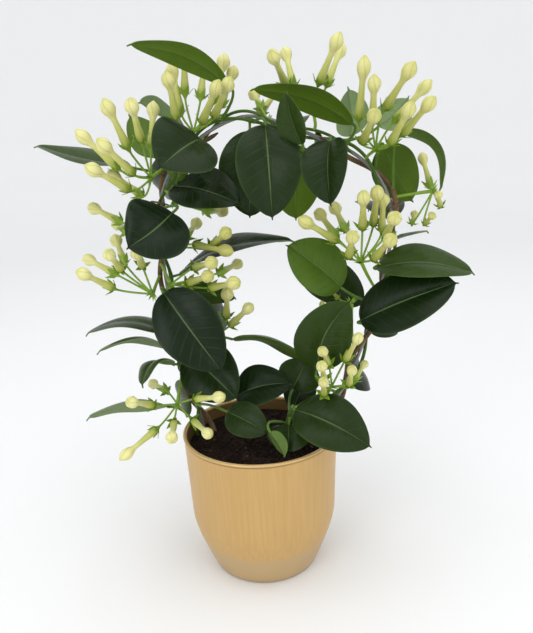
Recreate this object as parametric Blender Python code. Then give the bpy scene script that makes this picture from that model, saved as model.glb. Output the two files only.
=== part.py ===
"""Madagascar jasmine: vines trained over a wire hoop, standing in soil in a gold glazed pot.

The origin is the middle of the pot's flat base and +Z is up.
The plant's front, as the photograph shows it, faces -Y.
Tables are in millimetres and meshes in metres.
"""

import math
from collections import namedtuple

import bmesh
import bpy
import numpy as np
from mathutils import Vector, noise

MM = 0.001
GAP = 0.4  # air between neighbouring pieces

# Pot, a turned shape with a narrow foot, a rounded shoulder and a thin rolled lip.
RIM_RADIUS = 67.5
POT_HEIGHT = 126.0
SHOULDER_HEIGHT = 50.0
SHOULDER_RADIUS = 63.6
FOOT_RADIUS = 47.0
WALL = 3.4
FLOOR = 6.0
POT_SIDES = 40

# Soil, a plug with an uneven top.
SOIL_TOP = 114.0
SOIL_SIDES = 28
SOIL_RINGS = 7
SOIL_ROUGHNESS = 2.6

# Wire hoop: its centre line runs from the left foot over the top to the right foot.
WIRE_RADIUS = 1.5
HOOP_ROUTE = [
    (-44, 13, 52),
    (-46, 13, 84),
    (-50, 14, 118),
    (-61, 18, 165),
    (-70, 22, 215),
    (-75, 26, 265),
    (-76, 28, 305),
    (-67, 29, 340),
    (-45, 27, 366),
    (-18, 25, 382),
    (5, 23, 387),
    (28, 21, 381),
    (54, 19, 370),
    (84, 15, 356),
    (105, 12, 336),
    (116, 10, 307),
    (113, 9, 272),
    (104, 8, 235),
    (92, 8, 197),
    (75, 8, 158),
    (51, 8, 118),
    (47, 8, 84),
    (46, 8, 52),
]

# Vines twine round the hoop at one pitch, so they never cross each other.
# Each row: where it leaves the pot and where it ends, in mm along the hoop, the
# angle it starts at (0 is towards the hoop's inside, 90 is to the back), and its
# radius at the root and at the tip.
TWINE_RADIUS = 4.7
TWINE_PITCH = 95.0
ROOT_SPREAD = 3.0
STEM_SIDES = 5
VINES = {
    "vine_left_green": (12, 470, 180, 1.7, 1.2),
    "vine_left_woody": (12, 352, 0, 2.2, 1.5),
    "vine_right_green": (786, 330, 90, 1.7, 1.2),
    "vine_right_woody": (786, 440, 270, 2.2, 1.5),
}
# A short shoot of its own stands in front, low in the pot.
SHOOT = "vine_front_shoot"
SHOOT_ROUTE = [(20, -14, 58), (20, -14, 84), (20, -14, 116), (23, -17, 136), (28, -20, 154)]
SHOOT_RADIUS = 1.5

# Leaves. FRONT is the way the plant's front looks, a little upwards.
FRONT = (0.0, -0.957, 0.29)
LEAF_THICKNESS = 1.0
PETIOLE_RADIUS = 1.0
REACH = 12.0  # how far along the hoop a leaf's root may move to a stem on its side
# at: station in mm along the hoop or the shoot. tip: where the leaf ends. turn: degrees
# about its own length, 0 with its upper face to the front. bow: arch along its length,
# as a part of it. fold: degrees that each half is lifted. petiole: mm of bare stalk.
# sway: sideways arch, as a part of its length. neck: where the blade starts, where the
# petiole doesn't run straight at the tip.
Leaf = namedtuple("Leaf", "at tip turn width bow fold petiole sway neck",
                  defaults=(9, 0, None))
HOOP_LEAVES = {
    "crown_left": Leaf(372, (-81, -12, 441), -118, 32, 0.14, -8, neck=(-11, 8, 411)),
    "crown_left_low": Leaf(340, (-62, -42, 354), 0, 54, 0.10, 8, neck=(-34, -6, 372)),
    "curtain_middle": Leaf(388, (18, -26, 311), 0, 50, 0.12, 8, neck=(16, -4, 380)),
    "curtain_back_right": Leaf(408, (38, 18, 303), 180, 44, 0.05, -5, 8),
    "curtain_back_left": Leaf(370, (0, 20, 306), 0, 50, 0.04, 5, 8),
    "inner_left": Leaf(296, (-5, -14, 322), 28, 44, 0.08, 6, 5),
    "crown_upright": Leaf(420, (31, -24, 402), 48, 26, 0.06, 14, neck=(42, -22, 365)),
    "crown_folded": Leaf(446, (61, -36, 321), -24, 40, 0.12, 26, neck=(64, -12, 366)),
    "crown_right": Leaf(474, (6, -2, 407), -112, 30, 0.12, -8, neck=(84, 6, 378)),
    "crown_back_right": Leaf(470, (89, 66, 406), -150, 30, 0.10, 0, neck=(86, 30, 368)),
    "crown_far_right": Leaf(472, (139, 60, 396), -160, 32, 0.10, 0, neck=(110, 38, 374)),
    "shoulder_right": Leaf(500, (149, -14, 325), 82, 32, 0.24, 8, neck=(124, 10, 369)),
    "arch_right": Leaf(480, (135, 22, 313), 180, 40, 0.10, -6, neck=(110, 18, 360)),
    "under_crown_right": Leaf(456, (61, 62, 349), -70, 34, 0.10, 0, 10),
    "right_long": Leaf(572, (178, -15, 260), 50, 46, 0.10, 6, neck=(101, -5, 265)),
    "right_dark": Leaf(634, (160, -30, 257), 34, 52, 0.04, 5, neck=(86, -14, 224)),
    "right_upright": Leaf(690, (76, -32, 246), 0, 46, 0.04, 8, 9, -0.10, (50, -16, 184)),
    "right_young": Leaf(612, (29, -2, 287), -16, 46, 0.08, 10, neck=(72, -3, 250)),
    "left_inward": Leaf(222, (36, -4, 291), 66, 42, 0.10, 6, 10),
    "left_heart": Leaf(256, (-90, -46, 298), 0, 54, 0.10, 6, 9, -0.06, (-58, -20, 319)),
    "left_big": Leaf(206, (-27, -36, 193), 0, 52, 0.06, 6, neck=(-72, -10, 254)),
    "left_big_under": Leaf(160, (-17, -22, 163), 0, 50, 0.05, 6, 8),
    "low_inward": Leaf(156, (43, 25, 175), 105, 34, 0.14, -6, neck=(-20, 18, 203)),
    "low_middle": Leaf(96, (29, -6, 169), 42, 42, 0.12, 10, neck=(-19, -6, 159)),
    "low_front": Leaf(82, (7, -44, 142), 20, 30, 0.10, 6, neck=(-26, -24, 153)),
    "left_arched_high": Leaf(158, (-150, 27, 211), -75, 40, 0.14, 0, neck=(-77, 14, 213)),
    "left_arched_low": Leaf(144, (-133, -6, 205), -98, 36, 0.18, -8, neck=(-74, 8, 199)),
    "left_curled": Leaf(140, (-95, -24, 180), -75, 32, 0.30, 0, neck=(-72, 4, 187)),
    "left_back_low": Leaf(108, (-78, 56, 134), 10, 36, 0.06, 0, 8),
    "left_lowest": Leaf(84, (-148, -10, 147), -112, 34, 0.10, -8, neck=(-79, -2, 151)),
    "right_small_back": Leaf(556, (152, 34, 287), 80, 16, 0.04, 0, neck=(120, 22, 283)),
    "left_far": Leaf(288, (-173, 32, 373), -62, 40, -0.03, 8, neck=(-95, 20, 353)),
    "left_rising": Leaf(316, (-97, 52, 392), 170, 30, 0.08, -14, 8),
    "crown_back_left": Leaf(324, (-94, 88, 404), -100, 30, 0.10, 0, 10),
    "left_small_round": Leaf(308, (-54, -15, 341), 0, 20, 0.06, 0, 6),
    "left_small_back": Leaf(186, (-15, 34, 235), 30, 22, 0.06, 0, 6),
    "back_low_left": Leaf(156, (-66, 96, 168), 0, 40, 0.12, 6),
    "back_left": Leaf(236, (-95, 92, 280), 0, 42, 0.12, 6),
    "back_crown_left": Leaf(336, (-82, 104, 320), 10, 36, 0.12, 6),
    "back_crown": Leaf(416, (35, 102, 366), 0, 42, 0.12, 6),
    "back_crown_right": Leaf(538, (112, 104, 298), -10, 42, 0.12, 6),
    "back_right": Leaf(574, (158, 84, 236), 0, 42, 0.12, 6),
    "back_right_low": Leaf(622, (122, 88, 200), 0, 42, 0.12, 6),
    "back_low_right": Leaf(690, (98, 84, 146), 0, 40, 0.12, 6),
    "back_inner_left": Leaf(176, (-28, 88, 205), 10, 40, 0.12, 6),
    "back_inner_right": Leaf(600, (45, 78, 250), -10, 40, 0.12, 6),
}
SHOOT_LEAVES = {
    "shoot_right": Leaf(110, (88, -60, 134), 25, 46, 0.12, 8, neck=(30, -30, 155)),
    "shoot_down": Leaf(88, (22, -42, 122), 0, 36, 0.10, 8),
    "shoot_small": Leaf(78, (20, -50, 124), 150, 14, 0.08, 20, neck=(9, -46, 144)),
    "shoot_up": Leaf(92, (44, 16, 182), 0, 38, 0.08, 8, neck=(30, 6, 158)),
    "shoot_back": Leaf(66, (44, 50, 152), 10, 30, 0.08, 8, neck=(30, 8, 137)),
}

# Bud clusters. Each row: station on the hoop, the hub where the buds' stalks meet, and
# the calyx and tip of each bud.
HEAD_RADIUS = 5.6
BUD_SIDES = 5
STALK_RADIUS = 0.75
SEPAL_LENGTH = 6.5
CLUSTERS = {
    "umbel_crown_left": (350, (-41, 20, 377), [
        ((-53, 13, 387), (-55, -7, 422)), ((-50, 24, 391), (-56, 29, 431)),
        ((-46, 24, 405), (-45, 36, 444)), ((-34, 25, 402), (-30, 48, 436)),
        ((-33, 6, 383), (-16, -17, 413)), ((-24, 17, 387), (-8, -8, 415)),
        ((-24, 26, 399), (-13, 42, 436)), ((-19, 27, 395), (-6, 49, 427))]),
    "umbel_left_high": (300, (-75, 2, 344), [
        ((-89, -6, 367), (-101, -19, 404)), ((-79, -4, 372), (-80, -30, 403)),
        ((-74, 7, 365), (-71, 23, 402)), ((-100, 3, 352), (-130, 3, 383)),
        ((-86, -10, 348), (-106, -32, 376)), ((-91, -6, 336), (-118, -28, 358)),
        ((-84, 6, 330), (-114, 26, 349))]),
    "umbel_left_outer": (252, (-89, 12, 300), [
        ((-105, 14, 309), (-136, 37, 321)), ((-103, 21, 300), (-120, 59, 302))]),
    "umbel_left_middle": (200, (-83, 3, 250), [
        ((-105, 11, 276), (-119, 45, 293)), ((-105, -4, 273), (-107, -38, 295)),
        ((-112, 7, 267), (-144, 30, 279)), ((-112, -8, 259), (-132, -36, 281)),
        ((-89, 2, 274), (-86, -34, 294))]),
    "umbel_inner_high": (240, (-62, 5, 288), [
        ((-54, 19, 293), (-46, 58, 301)), ((-31, -2, 289), (-15, -34, 306)),
        ((-46, 1, 290), (-13, -23, 287))]),
    "umbel_inner_low": (210, (-66, -8, 260), [
        ((-46, -8, 273), (-26, -42, 284)), ((-27, 5, 265), (-10, 42, 265)),
        ((-52, -9, 261), (-29, -41, 274)), ((-34, -13, 257), (-9, -43, 268))]),
    "umbel_inner_bottom": (170, (-38, 24, 202), [
        ((-22, 24, 213), (-1, 0, 238)), ((-25, 26, 220), (-21, 2, 252))]),
    "umbel_left_low": (120, (-69, -10, 156), [
        ((-88, -17, 159), (-102, -50, 178)), ((-85, -26, 142), (-112, -55, 130)),
        ((-71, -23, 146), (-68, -64, 149)), ((-56, -18, 144), (-38, -55, 147)),
        ((-52, -24, 166), (-25, -54, 180)), ((-79, 1, 164), (-99, 36, 158))]),
    "umbel_right_high": (584, (86, -20, 274), [
        ((68, -20, 291), (37, -35, 313)), ((68, -9, 293), (56, 26, 310)),
        ((76, -6, 297), (70, 30, 314)), ((75, -31, 281), (74, -64, 305)),
        ((87, -21, 300), (84, -47, 332)), ((97, -11, 301), (96, -36, 334)),
        ((103, -14, 296), (103, -22, 327)), ((104, -25, 294), (105, -60, 316)),
        ((93, -35, 279), (102, -68, 302))]),
    "umbel_crown_right": (492, (100, -4, 358), [
        ((87, -4, 380), (89, -21, 425)), ((96, -12, 377), (94, -32, 411)),
        ((88, -14, 364), (93, -48, 387)), ((105, -11, 387), (122, -34, 418)),
        ((114, -2, 378), (143, 1, 407)), ((108, -18, 362), (119, -45, 391)),
        ((118, -12, 368), (136, -38, 394))]),
    "umbel_crown": (428, (54, 24, 391), [
        ((34, 19, 408), (22, -12, 432)), ((40, 29, 408), (35, 54, 440)),
        ((59, 19, 408), (75, 5, 444)), ((66, 26, 407), (82, 45, 440))]),
    "umbel_crown_back": (388, (19, 42, 383), [
        ((14, 55, 393), (7, 92, 408)), ((12, 57, 388), (32, 83, 411))]),
    "umbel_right_outer": (530, (146, 0, 324), [
        ((149, 18, 325), (148, 50, 351)), ((149, -12, 313), (143, -26, 326)),
        ((138, -8, 299), (142, -20, 309)), ((131, 5, 298), (137, 20, 305))]),
    "umbel_inner_top": (290, (-60, 12, 324), [
        ((-42, 15, 333), (-28, 47, 356)), ((-36, 14, 315), (-21, 52, 309))]),
    "umbel_right_young": (650, (81, -2, 236), [
        ((63, -4, 235), (54, -9, 238)), ((72, 13, 236), (65, 20, 242))]),
}
SHOOT_CLUSTER = "umbel_low_right"
SHOOT_HUB = (61, -25, 172)
SHOOT_BUDS = [
    ((58, -32, 194), (50, -60, 218)), ((54, -36, 183), (49, -67, 209)),
    ((53, -40, 172), (50, -72, 198)), ((71, -33, 197), (80, -58, 228)),
    ((73, -40, 179), (72, -70, 206)), ((80, -22, 175), (93, -4, 185)),
]

# Ties: small wire loops round the hoop and its vines, at these stations.
TIES = {"tie_left": 272, "tie_top": 406, "tie_right": 522}
TIE_RADIUS = 8.0
TIE_WIRE = 0.6


def unit(v):
    return v / np.linalg.norm(v)


def smooth_path(points, spacing):
    """Points at even steps along a smooth curve through the given ones."""
    given = np.array(points, float)
    padded = np.vstack([2 * given[0] - given[1], given, 2 * given[-1] - given[-2]])
    fine = []
    for i in range(1, len(padded) - 2):
        p0, p1, p2, p3 = padded[i - 1 : i + 3]
        for t in np.linspace(0, 1, 12, endpoint=False):
            fine.append(
                0.5 * (2 * p1 + (p2 - p0) * t + (2 * p0 - 5 * p1 + 4 * p2 - p3) * t**2
                       + (3 * p1 - p0 - 3 * p2 + p3) * t**3)
            )
    fine.append(padded[-2])
    fine = np.array(fine)
    length = np.concatenate([[0], np.cumsum(np.linalg.norm(np.diff(fine, axis=0), axis=1))])
    steps = np.linspace(0, length[-1], max(2, round(length[-1] / spacing)) + 1)
    return np.stack([np.interp(steps, length, fine[:, k]) for k in range(3)], axis=1)


HOOP = smooth_path(HOOP_ROUTE, 1.0)
SHOOT_PATH = smooth_path(SHOOT_ROUTE, 1.0)
SOIL_CROSSING = 62.0  # mm along the hoop, from either foot, to the soil's surface


def on_path(path, s):
    """Point and direction at s mm along a path with a point every mm."""
    s = min(max(s, 0.0), len(path) - 1.001)
    i = int(s)
    lo, hi = max(i - 6, 0), min(i + 7, len(path) - 1)
    return path[i] + (path[i + 1] - path[i]) * (s - i), unit(path[hi] - path[lo])


def twine_point(vine, s):
    """Centre of a vine's stem where it passes s mm along the hoop."""
    start, _, angle = VINES[vine][:3]
    centre, along = on_path(HOOP, s)
    inward = unit(np.cross((0, 1, 0), along))
    back = np.cross(along, inward)
    above = min(max(s, SOIL_CROSSING), len(HOOP) - SOIL_CROSSING) - SOIL_CROSSING
    turn = math.radians(angle) + 2 * math.pi * above / TWINE_PITCH
    climbed = max(0.0, abs(s - start) - 50)
    spread = TWINE_RADIUS + ROOT_SPREAD * math.exp(-((climbed / 30) ** 2))
    return centre + spread * (math.cos(turn) * inward + math.sin(turn) * back)


def vine_path(vine, spacing):
    start, end = VINES[vine][:2]
    steps = np.linspace(start, end, round(abs(end - start) / spacing) + 1)
    return np.array([twine_point(vine, s) for s in steps])


def stem_present(vine, s):
    """Whether a vine runs past station s with its stem well clear of the soil."""
    start, end = VINES[vine][:2]
    return min(start, end) + 4 < s < max(start, end) - 4 and abs(s - start) > 62


def stem_facing(at, target, reach=REACH):
    """The vine and station, near the given one, whose stem lies most on the target's side."""
    best = None
    for s in np.arange(at - reach, at + reach + 1, 3.0):
        centre, _ = on_path(HOOP, s)
        aim = unit(np.array(target, float) - centre)
        for vine in VINES:
            if not stem_present(vine, s):
                continue
            facing = unit(twine_point(vine, s) - centre) @ aim
            if best is None or facing > best[0]:
                best = (facing, vine, s)
    return best[1:]


def sweep(rings):
    """A closed skin over rings of points, each in the same order, with flat ends."""
    count = len(rings[0])
    points = np.concatenate(rings)
    faces = []
    for i in range(len(rings) - 1):
        a, b = i * count, (i + 1) * count
        for j in range(count):
            k = (j + 1) % count
            faces += [(a + j, a + k, b + k), (a + j, b + k, b + j)]
    last = len(points) - count
    for j in range(1, count - 1):
        faces += [(0, j + 1, j), (last, last + j, last + j + 1)]
    return points, faces


def skin(rings):
    """A closed skin over rings, each with as many points as the last, or twice or half."""
    points, faces, start = np.concatenate(rings), [], 0
    for lower, upper in zip(rings, rings[1:]):
        n, m = len(lower), len(upper)
        a, b, most = start, start + n, max(n, m)
        for j in range(most):
            low, low_next = a + j * n // most, a + (j + 1) * n // most % n
            high, high_next = b + j * m // most, b + (j + 1) * m // most % m
            if low != low_next:
                faces.append((low, low_next, high_next))
            if high != high_next:
                faces.append((low, high_next, high))
        start += n
    first, last = len(rings[0]), len(points) - len(rings[-1])
    faces += [(0, j + 1, j) for j in range(1, first - 1)]
    faces += [(last, last + j, last + j + 1) for j in range(1, len(rings[-1]) - 1)]
    return points, faces


def tube(path, radii, sides):
    """A round closed tube along a path."""
    path = np.array(path, float)
    radii = np.broadcast_to(radii, len(path))
    ways = np.gradient(path, axis=0)
    ways /= np.linalg.norm(ways, axis=1)[:, None]
    out = unit(np.cross(ways[0], (0.31, 0.87, 0.38)))
    rings = []
    for centre, way, radius in zip(path, ways, radii):
        out = unit(out - (out @ way) * way)
        across = np.cross(way, out)
        angles = 2 * np.pi * np.arange(sides) / sides
        rings.append(
            centre + radius * (np.outer(np.cos(angles), out) + np.outer(np.sin(angles), across))
        )
    return sweep(rings)


def blade_half_width(q, width):
    """Half the blade's width at q of its length: an ellipse with a small pointed tip."""
    tip = 0.965
    if q < tip:
        return max(0.9, width / 2 * math.sin(math.pi * (q / tip) ** 0.85) ** 0.5)
    return 0.35 + 0.55 * (1 - q) / (1 - tip)


def leaf_rings(root, spec, blade_steps, spread_steps):
    """Cross-sections of a leaf from the stem to its tip, petiole included."""
    root, tip = np.array(root, float), np.array(spec.tip, float)
    base = root + spec.petiole * unit(tip - root)
    if spec.neck:
        base = np.array(spec.neck, float)
    length = np.linalg.norm(tip - base)
    chord = (tip - base) / length
    front = np.array(FRONT)
    flat = unit(front - (front @ chord) * chord)
    turn, fold = math.radians(spec.turn), math.radians(spec.fold)
    face = math.cos(turn) * flat + math.sin(turn) * np.cross(flat, chord)
    beside = np.cross(chord, face)

    def middle(q):
        hook = 2.5 * min(max((q - 0.93) / 0.07, 0.0), 1.0) ** 2
        arch = spec.bow * length * math.sin(math.pi * q**0.9)
        aside = spec.sway * length * math.sin(math.pi * q)
        return base + chord * length * q + face * (arch - hook) + beside * aside

    def section(centre, across, normal, half, thick, lift):
        top = [
            centre + u * half * math.cos(lift) * across + abs(u) * half * math.sin(lift) * normal
            for u in spread_steps
        ]
        return np.array(top + [p - thick * normal for p in reversed(top)])

    # The petiole bends from the stem into the blade's own direction.
    bend = base - 0.4 * np.linalg.norm(base - root) * chord
    across, stalk = beside, []
    for t in (1.0, 0.5, 0.0) if spec.neck else (1.0, 0.0):
        centre = (1 - t) ** 2 * root + 2 * t * (1 - t) * bend + t**2 * base
        way = unit((1 - t) * (bend - root) + t * (base - bend))
        across = unit(across - (across @ way) * way)
        normal = np.cross(across, way)
        stalk.insert(0, section(centre, across, normal, PETIOLE_RADIUS, 2 * PETIOLE_RADIUS, 0.0))
    blade = []
    for q in blade_steps:
        way = unit(middle(min(q + 0.01, 1.0)) - middle(max(q - 0.01, 0.0)))
        normal = unit(face - (face @ way) * way)
        half = blade_half_width(q, spec.width)
        blade.append(section(middle(q), np.cross(way, normal), normal, half, LEAF_THICKNESS, fold))
    return stalk + blade


BLADE_STEPS = (0.04, 0.22, 0.52, 0.85, 1.0)


def leaf(root, spec):
    return sweep(leaf_rings(root, spec, BLADE_STEPS, (-1, 0, 1)))


def leaf_root(name):
    """The stem that a leaf grows from and the point on its centre line."""
    if name in SHOOT_LEAVES:
        return SHOOT, on_path(SHOOT_PATH, SHOOT_LEAVES[name].at)[0]
    vine, station = stem_facing(HOOP_LEAVES[name].at, HOOP_LEAVES[name].tip)
    return vine, twine_point(vine, station)


# A bud's outline: radius at each fraction of its length, as parts of HEAD_RADIUS.
BUD_OUTLINE = [
    (0.20, 0.66), (0.57, 0.44), (0.73, 0.92), (0.88, 0.94), (1.0, 0.10),
]


def bud_meshes(hub, calyx, tip):
    """A bud's stalk, body and sepals."""
    hub, calyx, tip = (np.array(p, float) for p in (hub, calyx, tip))
    aim, climb = unit(tip - calyx), unit(calyx - hub)
    side = unit(np.cross(aim, (0.31, 0.87, 0.38)))

    def ring(centre, way, count, radii, rise=(0.0,)):
        """Points round the bud, with the radii and rises taken in turn."""
        out = unit(side - (side @ way) * way)
        across = np.cross(way, out)
        angles = 2 * np.pi * np.arange(count) / count
        return [
            centre + h * way + r * (math.cos(a) * out + math.sin(a) * across)
            for a, r, h in zip(angles, np.resize(radii, count), np.resize(rise, count))
        ]

    # Between the stalk and the body a ring of points and notches forms the sepals.
    point = SEPAL_LENGTH * min(1.0, np.linalg.norm(tip - calyx) / 30)
    rings = [
        ring(hub - climb, climb, 3, [STALK_RADIUS]),
        ring(calyx - 0.8 * aim, unit(aim + climb), 3, [STALK_RADIUS + 0.2]),
        ring(calyx, aim, 10, [2.6 + 0.55 * point, 2.7], [1.0 + 0.7 * point, 1.2]),
        ring(calyx + 2.2 * aim, aim, BUD_SIDES, [0.55 * HEAD_RADIUS]),
    ]
    for f, r in BUD_OUTLINE:
        rings.append(ring(calyx + (tip - calyx) * f, aim, BUD_SIDES, [HEAD_RADIUS * r]))
    return [skin(rings)]


def cluster_root(station, hub):
    """Centre line, direction and radius of the stem that a cluster hangs on."""
    vine, station = stem_facing(station, hub)
    before, after = twine_point(vine, station - 3), twine_point(vine, station + 3)
    return twine_point(vine, station), unit(after - before), max(VINES[vine][3:])


def peduncle(centre, way, radius, hub):
    """The cluster's own stem, from just clear of the vine to its hub."""
    hub = np.array(hub, float)
    off = hub - centre
    off = unit(off - (off @ way) * way)
    start = centre + (radius + GAP) * off
    path = smooth_path([start, start + 4 * off, 0.5 * (start + 6 * off + hub), hub], 6.0)
    path[-1] += unit(path[-1] - path[-2])
    return tube(path, np.linspace(1.0, 1.5, len(path)), 5)


def material(name, colour, roughness, metallic=0.0):
    made = bpy.data.materials.new(name)
    made.use_nodes = True
    shader = made.node_tree.nodes["Principled BSDF"]
    shader.inputs["Base Color"].default_value = (*colour, 1)
    shader.inputs["Roughness"].default_value = roughness
    shader.inputs["Metallic"].default_value = metallic
    return made


def mesh_object(name, points, faces, finish=None):
    """An object made of points in millimetres, its faces turned outwards."""
    mesh = bpy.data.meshes.new(name)
    mesh.from_pydata([tuple(MM * p) for p in np.asarray(points)], [], faces)
    bm = bmesh.new()
    bm.from_mesh(mesh)
    bmesh.ops.recalc_face_normals(bm, faces=bm.faces)
    if bm.calc_volume(signed=True) < 0:
        bmesh.ops.reverse_faces(bm, faces=bm.faces)
    bm.to_mesh(mesh)
    bm.free()
    mesh.shade_smooth()
    mesh.set_sharp_from_angle(angle=math.radians(40))
    if finish:
        mesh.materials.append(finish)
    made = bpy.data.objects.new(name, mesh)
    bpy.context.scene.collection.objects.link(made)
    return made


def apply_boolean(body, others, operation, solver):
    """One Boolean of a body with a collection of others, which are removed after it."""
    group = bpy.data.collections.new("pieces")
    for other in others:
        bpy.context.scene.collection.objects.unlink(other)
        group.objects.link(other)
    bpy.context.scene.collection.children.link(group)
    join = body.modifiers.new("join", "BOOLEAN")
    join.operation = operation
    join.operand_type = "COLLECTION"
    join.collection = group
    join.solver = solver
    bpy.context.view_layer.update()
    result = bpy.data.meshes.new_from_object(
        body.evaluated_get(bpy.context.evaluated_depsgraph_get())
    )
    body.modifiers.remove(join)
    body.data = result
    for other in others:
        bpy.data.objects.remove(other)
    bpy.data.collections.remove(group)
    return body


def fused(name, meshes, finish):
    """One solid from closed meshes that overlap. A petiole may bend into itself, which
    the manifold solver joins cleanly and the exact one doesn't."""
    first, *rest = [mesh_object(name if i == 0 else f"{name}_{i}", *m, finish)
                    for i, m in enumerate(meshes)]
    return apply_boolean(first, rest, "UNION", "MANIFOLD") if rest else first


def pot_profile():
    """Outer and inner outline of the pot, from the middle of its base round to its floor."""
    r, h, s = RIM_RADIUS, POT_HEIGHT, SHOULDER_HEIGHT
    return [
        (0, 0), (FOOT_RADIUS - 1.6, 0), (FOOT_RADIUS, 1.4),
        (54.3, 19), (58.0, 29), (60.9, 38), (62.8, 45),
        (SHOULDER_RADIUS, s), (SHOULDER_RADIUS + 0.7, s + 14),
        (r - 0.8, h - 3.0), (r - 1.2, h - 2.4), (r - 0.2, h - 1.8), (r, h - 0.9), (r - 0.9, h),
        (r - WALL + 0.9, h), (r - WALL, h - 1.2), (r - WALL - 0.6, h - 8),
        (SHOULDER_RADIUS - WALL, s), (FOOT_RADIUS - 0.8, FLOOR), (0, FLOOR),
    ]


def build_pot():
    """The pot is its outline spun once round the axis."""
    bm = bmesh.new()
    line = [bm.verts.new((MM * r, 0, MM * z)) for r, z in pot_profile()]
    edges = [bm.edges.new(pair) for pair in zip(line, line[1:])]
    bmesh.ops.spin(bm, geom=line + edges, cent=(0, 0, 0), axis=(0, 0, 1),
                   angle=2 * math.pi, steps=POT_SIDES, use_merge=True)
    bmesh.ops.remove_doubles(bm, verts=bm.verts, dist=1e-6)
    bmesh.ops.recalc_face_normals(bm, faces=bm.faces)
    mesh = bpy.data.meshes.new("pot")
    bm.to_mesh(mesh)
    bm.free()
    mesh.shade_smooth()
    mesh.set_sharp_from_angle(angle=math.radians(30))
    mesh.materials.append(material("gold glaze", (0.60, 0.41, 0.17), 0.32, 0.75))
    pot = bpy.data.objects.new("pot", mesh)
    bpy.context.scene.collection.objects.link(pot)
    return pot


def soil_height(x, y):
    """The soil's uneven surface, level where it meets the pot."""
    edge = min(1.0, max(0.0, (58 - math.hypot(x, y)) / 10))
    bumps = noise.fractal(Vector((x / 17, y / 17, 0.7)), 1.0, 2.0, 3)
    return SOIL_TOP + edge * SOIL_ROUGHNESS * (1.4 * bumps + 0.5)


def inner_radius(z):
    """The pot's inner radius at a height, from its profile."""
    line = pot_profile()[-5:-1][::-1]
    return float(np.interp(z, [p[1] for p in line], [p[0] for p in line]))


def soil_plug():
    """A plug that follows the pot's inner wall with a small gap."""
    angles = 2 * np.pi * np.arange(SOIL_SIDES) / SOIL_SIDES
    keep = GAP + RIM_RADIUS * (1 - math.cos(math.pi / POT_SIDES)) + 0.2
    points, faces = [(0, 0, soil_height(0, 0))], []
    for ring in range(1, SOIL_RINGS + 1):
        r = (inner_radius(SOIL_TOP) - keep) * ring / SOIL_RINGS
        points += [(r * math.cos(a), r * math.sin(a),
                    soil_height(r * math.cos(a), r * math.sin(a))) for a in angles]
    for z in (SHOULDER_HEIGHT, FLOOR + GAP):
        r = inner_radius(z) - keep
        points += [(r * math.cos(a), r * math.sin(a), z) for a in angles]
    points.append((0, 0, FLOOR + GAP))
    n = SOIL_SIDES
    for j in range(n):
        k = (j + 1) % n
        faces.append((0, 1 + j, 1 + k))
        for ring in range(SOIL_RINGS + 1):
            a, b = 1 + ring * n, 1 + (ring + 1) * n
            faces += [(a + j, b + j, b + k), (a + j, b + k, a + k)]
        last = 1 + (SOIL_RINGS + 1) * n
        faces.append((last + j, len(points) - 1, last + k))
    return np.array(points, float), faces


def buried(path, radius):
    """A plain hole for a stem: its buried part, a little wider and deeper."""
    above = next(i for i, p in enumerate(path) if p[2] > SOIL_TOP + 9)
    first = path[0] + unit(path[0] - path[1]) * 1.0
    return tube([first, *path[1 : above + 1]], radius + GAP, 8)


def build_soil(paths):
    soil = mesh_object("soil", *soil_plug(), material("soil", (0.035, 0.022, 0.015), 0.95))
    holes = [mesh_object("hole", *buried(path, radius)) for path, radius in paths]
    return apply_boolean(soil, holes, "DIFFERENCE", "EXACT")


def tie_path(station):
    """A little over one turn round the hoop and its vines, with both ends turned out."""
    centre, along = on_path(HOOP, station)
    inward = unit(np.cross((0, 1, 0), along))
    back = np.cross(along, inward)
    path = []
    for turns in np.linspace(0, 1.08, 15):
        angle = 2 * math.pi * (turns - 0.25)
        away = math.cos(angle) * inward + math.sin(angle) * back
        path.append(centre + TIE_RADIUS * away + along * (3.2 * turns - 1.6))
    return np.array(path)


def all_leaves():
    """Each leaf's name, stem and mesh."""
    made = []
    for name, spec in {**HOOP_LEAVES, **SHOOT_LEAVES}.items():
        vine, root = leaf_root(name)
        made.append((name, vine, leaf(root, spec)))
    return made


def all_clusters():
    """Each bud cluster's name and the meshes it is fused from."""
    made = []
    for name, (station, hub, buds) in CLUSTERS.items():
        stem = peduncle(*cluster_root(station, hub), hub)
        made.append((name, [stem] + [m for row in buds for m in bud_meshes(hub, *row)]))
    root, way = on_path(SHOOT_PATH, len(SHOOT_PATH) - 1)
    stem = peduncle(root - 2 * way, way, SHOOT_RADIUS, SHOOT_HUB)
    buds = [m for row in SHOOT_BUDS for m in bud_meshes(SHOOT_HUB, *row)]
    made.append((SHOOT_CLUSTER, [stem] + buds))
    return made


def stem_meshes():
    """Each stem's name, path, radii and mesh."""
    made = []
    for vine, (_, _, _, thick, thin) in VINES.items():
        path = vine_path(vine, 15.0)
        radii = np.linspace(thick, thin, len(path))
        radii[-1] = 0.5
        made.append((vine, path, radii, tube(path, radii, STEM_SIDES)))
    path = smooth_path(SHOOT_ROUTE, 9.0)
    made.append((SHOOT, path, SHOOT_RADIUS, tube(path, SHOOT_RADIUS, STEM_SIDES)))
    return made


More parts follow.
